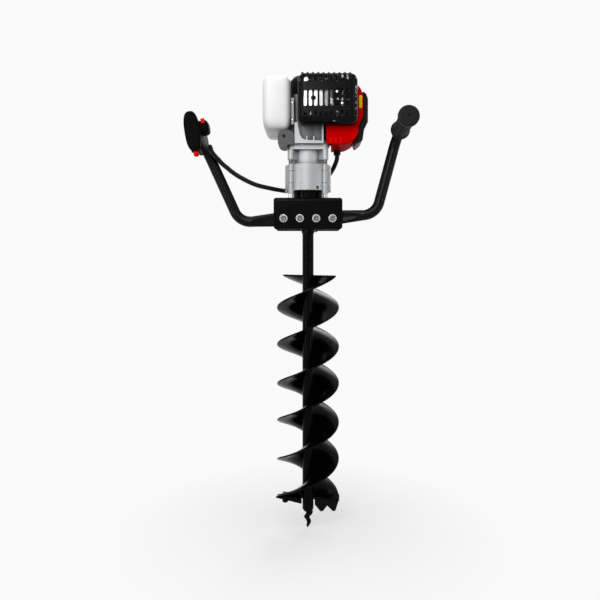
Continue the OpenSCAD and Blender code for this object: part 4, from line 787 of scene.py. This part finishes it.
# %% Muffler guard
GUARD_X, GUARD_Z = (-0.024, 0.1135), (0.2405, 0.357)
GUARD_BACK, GUARD_DEPTH, GUARD_ROUND = -0.062, 0.034, 0.018
GUARD_FRONT = GUARD_BACK - GUARD_DEPTH
SLOT_FIRST, SLOT_PITCH, SLOT_COUNT = -0.0066, 0.0120, 9
SLOT_ROWS = [(0.279, 0.318, 0.0078, 0.002, 0.020), (0.334, 0.3505, 0.005, 0.001, 0.014),
             (0.256, 0.270, 0.005, 0.001, 0.009)]
RIB_R, RIB_WIDER, RIB_ANGLES = 0.0024, 1.3, np.linspace(0, 1.35, 10)


def cap_rings(shrink, back, sides=24):
    middle = Vector(((GUARD_X[0] + GUARD_X[1]) / 2, (GUARD_Z[0] + GUARD_Z[1]) / 2))
    half = Vector(((GUARD_X[1] - GUARD_X[0]) / 2 - shrink, (GUARD_Z[1] - GUARD_Z[0]) / 2 - shrink))
    front, reach = GUARD_FRONT + shrink, GUARD_ROUND - shrink
    stops = [(back, 0.0)] + [(front + reach * (1 - math.sin(a)), reach * (1 - math.cos(a)))
                             for a in np.linspace(0, math.pi / 2, 12)]
    rings = []
    for y, inset in stops:
        corner = max(reach - inset, 0.0004)
        box = half - Vector((inset, inset))
        ring = []
        for quarter, (sx, sz) in enumerate(((1, 1), (-1, 1), (-1, -1), (1, -1))):
            for a in np.linspace(0, math.pi / 2, sides // 4):
                turn = a + quarter * math.pi / 2
                ring.append((middle.x + sx * (box.x - corner) + corner * math.cos(turn), y,
                             middle.y + sz * (box.y - corner) + corner * math.sin(turn)))
        rings.append(ring)
    return rings


def long_holes(holes):
    points, faces = [], []
    for x, z_low, z_high, width, y_low, y_high in holes:
        ends = [(z_high - width / 2, 0), (z_low + width / 2, math.pi)]
        ring = [(x + width / 2 * math.cos(start + a), z + width / 2 * math.sin(start + a))
                for z, start in ends for a in np.linspace(0, math.pi, 7)]
        base, count = len(points), len(ring)
        points += [(px, y, pz) for y in (y_low, y_high) for px, pz in ring]
        faces += [tuple(base + i for i in range(count)), tuple(base + count + i for i in range(count))]
        faces += [(base + i, base + (i + 1) % count, base + count + (i + 1) % count, base + count + i)
                  for i in range(count)]
    mesh = bpy.data.meshes.new("long_holes")
    mesh.from_pydata(points, [], faces)
    return rough(mesh)


slot_x = [SLOT_FIRST + i * SLOT_PITCH for i in range(SLOT_COUNT)]
holes = [(x, low, high, width, GUARD_FRONT - before, GUARD_FRONT + deep)
         for x in slot_x for low, high, width, before, deep in SLOT_ROWS]
hollow = rough(skin(cap_rings(WALL, GUARD_BACK + 0.004)))
guard = carve(rough(skin(cap_rings(0, GUARD_BACK))), [("DIFFERENCE", hollow), ("DIFFERENCE", long_holes(holes))])
set_piece("slotted_guard", guard, guard_nylon, ["muffler_guard"], sharp=30)

spine = [(GUARD_BACK - 0.001, GUARD_Z[1], 0.0)]
spine += [(GUARD_FRONT + GUARD_ROUND * (1 - math.sin(a)), GUARD_Z[1] - GUARD_ROUND * (1 - math.cos(a)), a)
          for a in RIB_ANGLES]
sizes = [RIB_R] * (len(spine) - 2) + [0.6 * RIB_R, 0.15 * RIB_R]
for number in range(SLOT_COUNT + 1):
    x = SLOT_FIRST + (number - 0.5) * SLOT_PITCH
    rings = []
    for (y, z, lean), size in zip(spine, sizes):
        out = Vector((0, -math.sin(lean), math.cos(lean)))
        rings.append([Vector((x + size * RIB_WIDER * u, y, z)) + size * v * out for u, v in circle(12)])
    set_piece(f"guard_rib_{number + 1}", skin(rings), guard_nylon)

# %% [markdown]
# A washer-head screw at the top left of the guard holds it to the muffler, and catches the light in the photograph.
# A blackened one in the foot of the tank's stand holds that to the engine.

# %% Guard screw and stand screw
washer_head = [(0.0001, -0.004), (0.0062, -0.004), (0.0064, 0.0004), (0.0060, 0.0010), (0.0042, 0.0012),
               (0.0041, 0.0034), (0.0036, 0.0042), (0.0001, 0.0044)]


def socket_screw(name, at, size, finish):
    face = facing_front(*at) @ Matrix.Scale(size, 4)
    head = rough(skin(turned(washer_head, face, 48)))
    set_piece(name, carve(head, [("DIFFERENCE", rod(0.0022, 0.002, 0.006, face, 6))]), finish)


socket_screw("guard_screw", (-0.003, -0.0945, 0.3375), 1.0, zinc)
socket_screw("stand_screw", (-0.0557, -0.0592, 0.2187), 0.6, blackened_steel)

# %% [markdown]
# The screw point at the tip is a forged and ground spiral that pulls the bit into the soil. It is an off-centre
# round that turns and tapers, so fine rings of it make a smooth thread.

# %% Screw point
POINT_TOP, POINT_LEN, POINT_LEAD = -0.674, 0.046, 0.025
POINT_R, OFF_CENTRE, TIP, POINT_SIDES = 0.00918, 0.00405, 0.06, 28
point_rings = []
for t in np.linspace(0, 1, 110):
    grow = TIP + (1 - TIP) * math.sqrt(t)
    turn = math.pi + 2 * math.pi * POINT_LEN * t / POINT_LEAD
    at = moved(0, 0, POINT_TOP - POINT_LEN * (1 - t)) @ spun(turn, "Z") @ Matrix.Scale(grow, 4)
    point_rings.append([at @ Vector((OFF_CENTRE + POINT_R * c, POINT_R * s, 0)) for c, s in circle(POINT_SIDES)])
root = [(0.0095, POINT_TOP - 0.0055), (0.0128, POINT_TOP - 0.0006), (0.013, POINT_TOP)]
point_root = rough(skin(turned(root, Matrix.Identity(4), 64)))
point = carve(rough(skin(point_rings)), [("UNION", point_root)])
set_piece("screw_point", point, bit_coat, ["drill_point"], body="bit")

# %% [markdown]
# Four M8 hexagon bolts with wide washers hold the handles inside the channel. The forging die chamfers each head and
# dishes it in the middle. A ring of points takes the hexagon's radius at each angle, cut off by the chamfer's circle,
# so one row of rings gives shank, hexagon, chamfer and dish.

# %% Handle bolts
BOLT_X, BOLT_Y, BOLT_Z = [-0.057, -0.019, 0.019, 0.057], -0.056, 0.0285
FLATS, HEAD_TOP, WASHER_T = 0.0066, 0.0068, 0.0016
FIRST_SPIN, NEXT_SPIN = math.radians(11), math.radians(17)


def hexagon_rings(rows, at, sides=48):
    sixth = math.pi / 3
    angles = [2 * math.pi * k / sides for k in range(sides)]
    reach = [FLATS / math.cos((a + sixth / 2) % sixth - sixth / 2) for a in angles]
    return [[at @ Vector((min(limit, r) * c, min(limit, r) * s, h)) for r, (c, s) in zip(reach, circle(sides))]
            for limit, h in rows]


def joined(meshes):
    work = bmesh.new()
    for mesh in meshes:
        work.from_mesh(mesh)
    whole = bpy.data.meshes.new("joined")
    work.to_mesh(whole)
    work.free()
    return whole


bolt_rows = [(0.0036, -0.025), (0.004, -0.0246), (0.004, WASHER_T), (1, WASHER_T), (1, 0.0055), (0.0069, 0.0062),
             (0.0059, HEAD_TOP), (0.0048, HEAD_TOP), (0.0042, 0.0060), (0.0001, 0.0057)]
washer_rows = [(0.0042, 0.0), (0.0092, 0.0), (0.0092, 0.0012), (0.0088, WASHER_T), (0.0042, WASHER_T)]
bolts, washers = [], []
for number, x in enumerate(BOLT_X):
    face = facing_front(x, BOLT_Y, BOLT_Z)
    spin = spun(FIRST_SPIN + NEXT_SPIN * number, "Z")
    bolts.append(skin(hexagon_rings(bolt_rows, face @ spin)))
    washers.append(skin(turned(washer_rows, face, 48)))
set_piece("handle_hex_bolts", joined(bolts), worn_zinc, ["handle_bolts"], sharp=22)
set_piece("handle_washers", joined(washers), zinc)

# %% [markdown]
# A dark sheet, a painted shade, stands between the muffler and the guard's right half and top row, so those slots
# look black. Its edges touch the inside of the guard, and two small screws on it catch the light through the slots.

# %% Shade sheet
SHADE_SHEET_FRONT, SHADE_SHEET_BACK, SHADE_SHEET_SCREW_Y = -0.0918, -0.0906, -0.0917


def pan_screws(name, profile, spots):
    for number, spot in enumerate(spots):
        set_piece(f"{name}_{number + 1}", skin(turned(profile, facing_front(*spot), 32)), zinc)


shade_sheet_outline = rounded([(0.050, 0.2455), (0.1097, 0.2455), (0.1097, 0.350), (-0.019, 0.350), (-0.019, 0.327),
                       (0.050, 0.327)], 0.008)
# This dark sheet is a painted shade behind the slots.
set_piece("shade_sheet", slab(shade_sheet_outline, SHADE_SHEET_FRONT, SHADE_SHEET_BACK, 0.0004), muffler_sheet)
shade_sheet_pan = [(0.0001, 0.0), (0.0032, 0.0), (0.0033, 0.0005), (0.0026, 0.0012), (0.0001, 0.0015)]
pan_screws("shade_sheet_screw", shade_sheet_pan, [(0.0655, SHADE_SHEET_SCREW_Y, 0.312), (0.0775, SHADE_SHEET_SCREW_Y, 0.286)])

# %% [markdown]
# An angle strip of dulled plated sheet holds the tank to the side of the crankcase. It fills the narrow gap between
# them, with two pan-head screws on its front flange, and from the front it is the grey strip beside the tank.

# %% Tank strip
STRIP_FOOT, STRIP_TOP, STRIP_Y, STRIP_T = 0.247, 0.309, -0.0475, 0.0014
STRIP_LEFT, STRIP_RIGHT, STRIP_END_Y, STRIP_SCREW_X = -0.0388, -0.0328, -0.012, -0.0357
strip_plan = [(STRIP_LEFT, STRIP_END_Y), (STRIP_LEFT, STRIP_Y), (STRIP_RIGHT, STRIP_Y),
              (STRIP_RIGHT, STRIP_Y + STRIP_T), (STRIP_LEFT + STRIP_T, STRIP_Y + STRIP_T),
              (STRIP_LEFT + STRIP_T, STRIP_END_Y)]
strip = skin([[(x, y, z) for x, y in strip_plan] for z in (STRIP_FOOT, STRIP_TOP)])
set_piece("tank_strip", strip, worn_zinc)
strip_pan = [(0.0001, -0.0006), (0.0024, -0.0006), (0.0025, 0.0005), (0.0018, 0.0014), (0.0001, 0.0017)]
pan_screws("strip_screw", strip_pan, [(STRIP_SCREW_X, STRIP_Y, 0.258), (STRIP_SCREW_X, STRIP_Y, 0.297)])

# %% [markdown]
# The starter rope is nylon, four millimetres thick, with three strands that wind round it. It leaves the drum
# through a guide and ends inside the pull handle. The rope is one fixed mesh in place, and it hangs on no body.

# %% Starter rope
ROPE_X, ROPE_Z, ROPE_R, LAY = 0.034, 0.345, 0.002, 0.014
GROOVE, HALF_STRANDS = 0.12, 1.5
rope_rings = []
for y in np.linspace(0.004, 0.057, 107):
    ring = []
    for b in np.linspace(0, 2 * math.pi, 25)[:-1]:
        r = ROPE_R * (1 - GROOVE + GROOVE * abs(math.cos(HALF_STRANDS * (b - 2 * math.pi * y / LAY))))
        ring.append((ROPE_X + r * math.cos(b), y, ROPE_Z + r * math.sin(b)))
    rope_rings.append(ring)
rope = set_piece("pull_rope", skin(rope_rings), starter_braid, ["starter_rope"], body=None)
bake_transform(rope)

# %% [markdown]
# A product photograph on white has light from all round. The world gives a low even fill, large soft lamps light the
# front, the top and the back, and three narrow strips draw thin highlights on the black tubes. The floor is a pale
# disc that fades out before its edge shows. Part of its white is its own glow for the camera, so that it stays pale
# and still keeps the shadow. Camera rays, and rays that a shiny surface sends out, see the photograph's near-white.

# %% Light and floor
GROUND, FILL, FILL_STRENGTH = "#fafafa", "#f4f6fa", 0.25
FLOOR_R, FLOOR_Z, FADE_FROM, FADE_TO, CAMERA_GLOW = 0.9, -0.722, 0.12, 0.5, 0.55
LAMPS = [("front_sheet", (-0.5, -1.9, 0.9), 0.0, (1.1, 1.1), 18),
         ("top_sheet", (-0.2, -0.2, 1.5), 0.1, (1.0, 1.0), 7),
         ("left_strip", (-1.1, -0.9, 0.1), -0.1, (0.03, 1.3), 4),
         ("right_strip", (1.2, -0.8, 0.1), -0.1, (0.03, 1.3), 2.5),
         ("front_strip", (0, -1.3, 1.3), 0.1, (1.2, 0.03), 4),
         ("back_sheet", (0.5, 1.8, 0.9), 0.0, (1.1, 1.1), 14)]
scene.view_settings.view_transform = "Standard"
sky = bpy.data.worlds.new("studio")
scene.world = sky
sky.use_nodes = True
air = sky.node_tree
air.nodes.clear()
ray = add(air, "LightPath").outputs
shiny = reckon(air, "MAXIMUM", ray["Is Glossy Ray"], ray["Is Transmission Ray"])
seen = reckon(air, "MAXIMUM", ray["Is Camera Ray"], shiny)
fill = add(air, "Background", {"Color": ink(FILL), "Strength": FILL_STRENGTH}).outputs["Background"]
ground = add(air, "Background", {"Color": ink(GROUND), "Strength": 1.0}).outputs["Background"]
both = add(air, "MixShader", {0: seen, 1: fill, 2: ground})
add(air, "OutputWorld", {"Surface": both.outputs["Shader"]})

for name, at, aim_z, size, watts in LAMPS:
    lamp = bpy.data.lights.new(name, "AREA")
    lamp.shape = "RECTANGLE"
    lamp.size, lamp.size_y = size
    lamp.energy = watts
    holder = bpy.data.objects.new(name, lamp)
    holder.location = at
    holder.rotation_euler = (Vector((0, 0, aim_z)) - Vector(at)).to_track_quat("-Z", "Y").to_euler()
    scene.collection.objects.link(holder)

bpy.ops.mesh.primitive_circle_add(vertices=96, radius=FLOOR_R, fill_type="NGON", location=(0, 0, FLOOR_Z))
floor = bpy.context.object
floor.name = "floor"
paper, tree, place = finish_named("matt_white_paper")
far = add(tree, "VectorMath", {0: place}, operation="LENGTH").outputs["Value"]
fade = spread(tree, far, FADE_FROM, FADE_TO, 0.0, 1.0)
matt = add(tree, "BsdfDiffuse", {"Color": ink(GROUND)}).outputs["BSDF"]
glow = add(tree, "Emission", {"Color": ink(GROUND), "Strength": 1.0}).outputs["Emission"]
share = reckon(tree, "MULTIPLY", add(tree, "LightPath").outputs["Is Camera Ray"], CAMERA_GLOW)
sheet = add(tree, "MixShader", {0: share, 1: matt, 2: glow}).outputs["Shader"]
clear = add(tree, "BsdfTransparent").outputs["BSDF"]
laid = add(tree, "MixShader", {0: fade, 1: sheet, 2: clear})
add(tree, "OutputMaterial", {"Surface": laid.outputs["Shader"]})
floor.data.materials.append(paper)
print(len(LAMPS), "lamps and a floor disc")

# %% [markdown]

# %% Finish
bpy.context.view_layer.update()
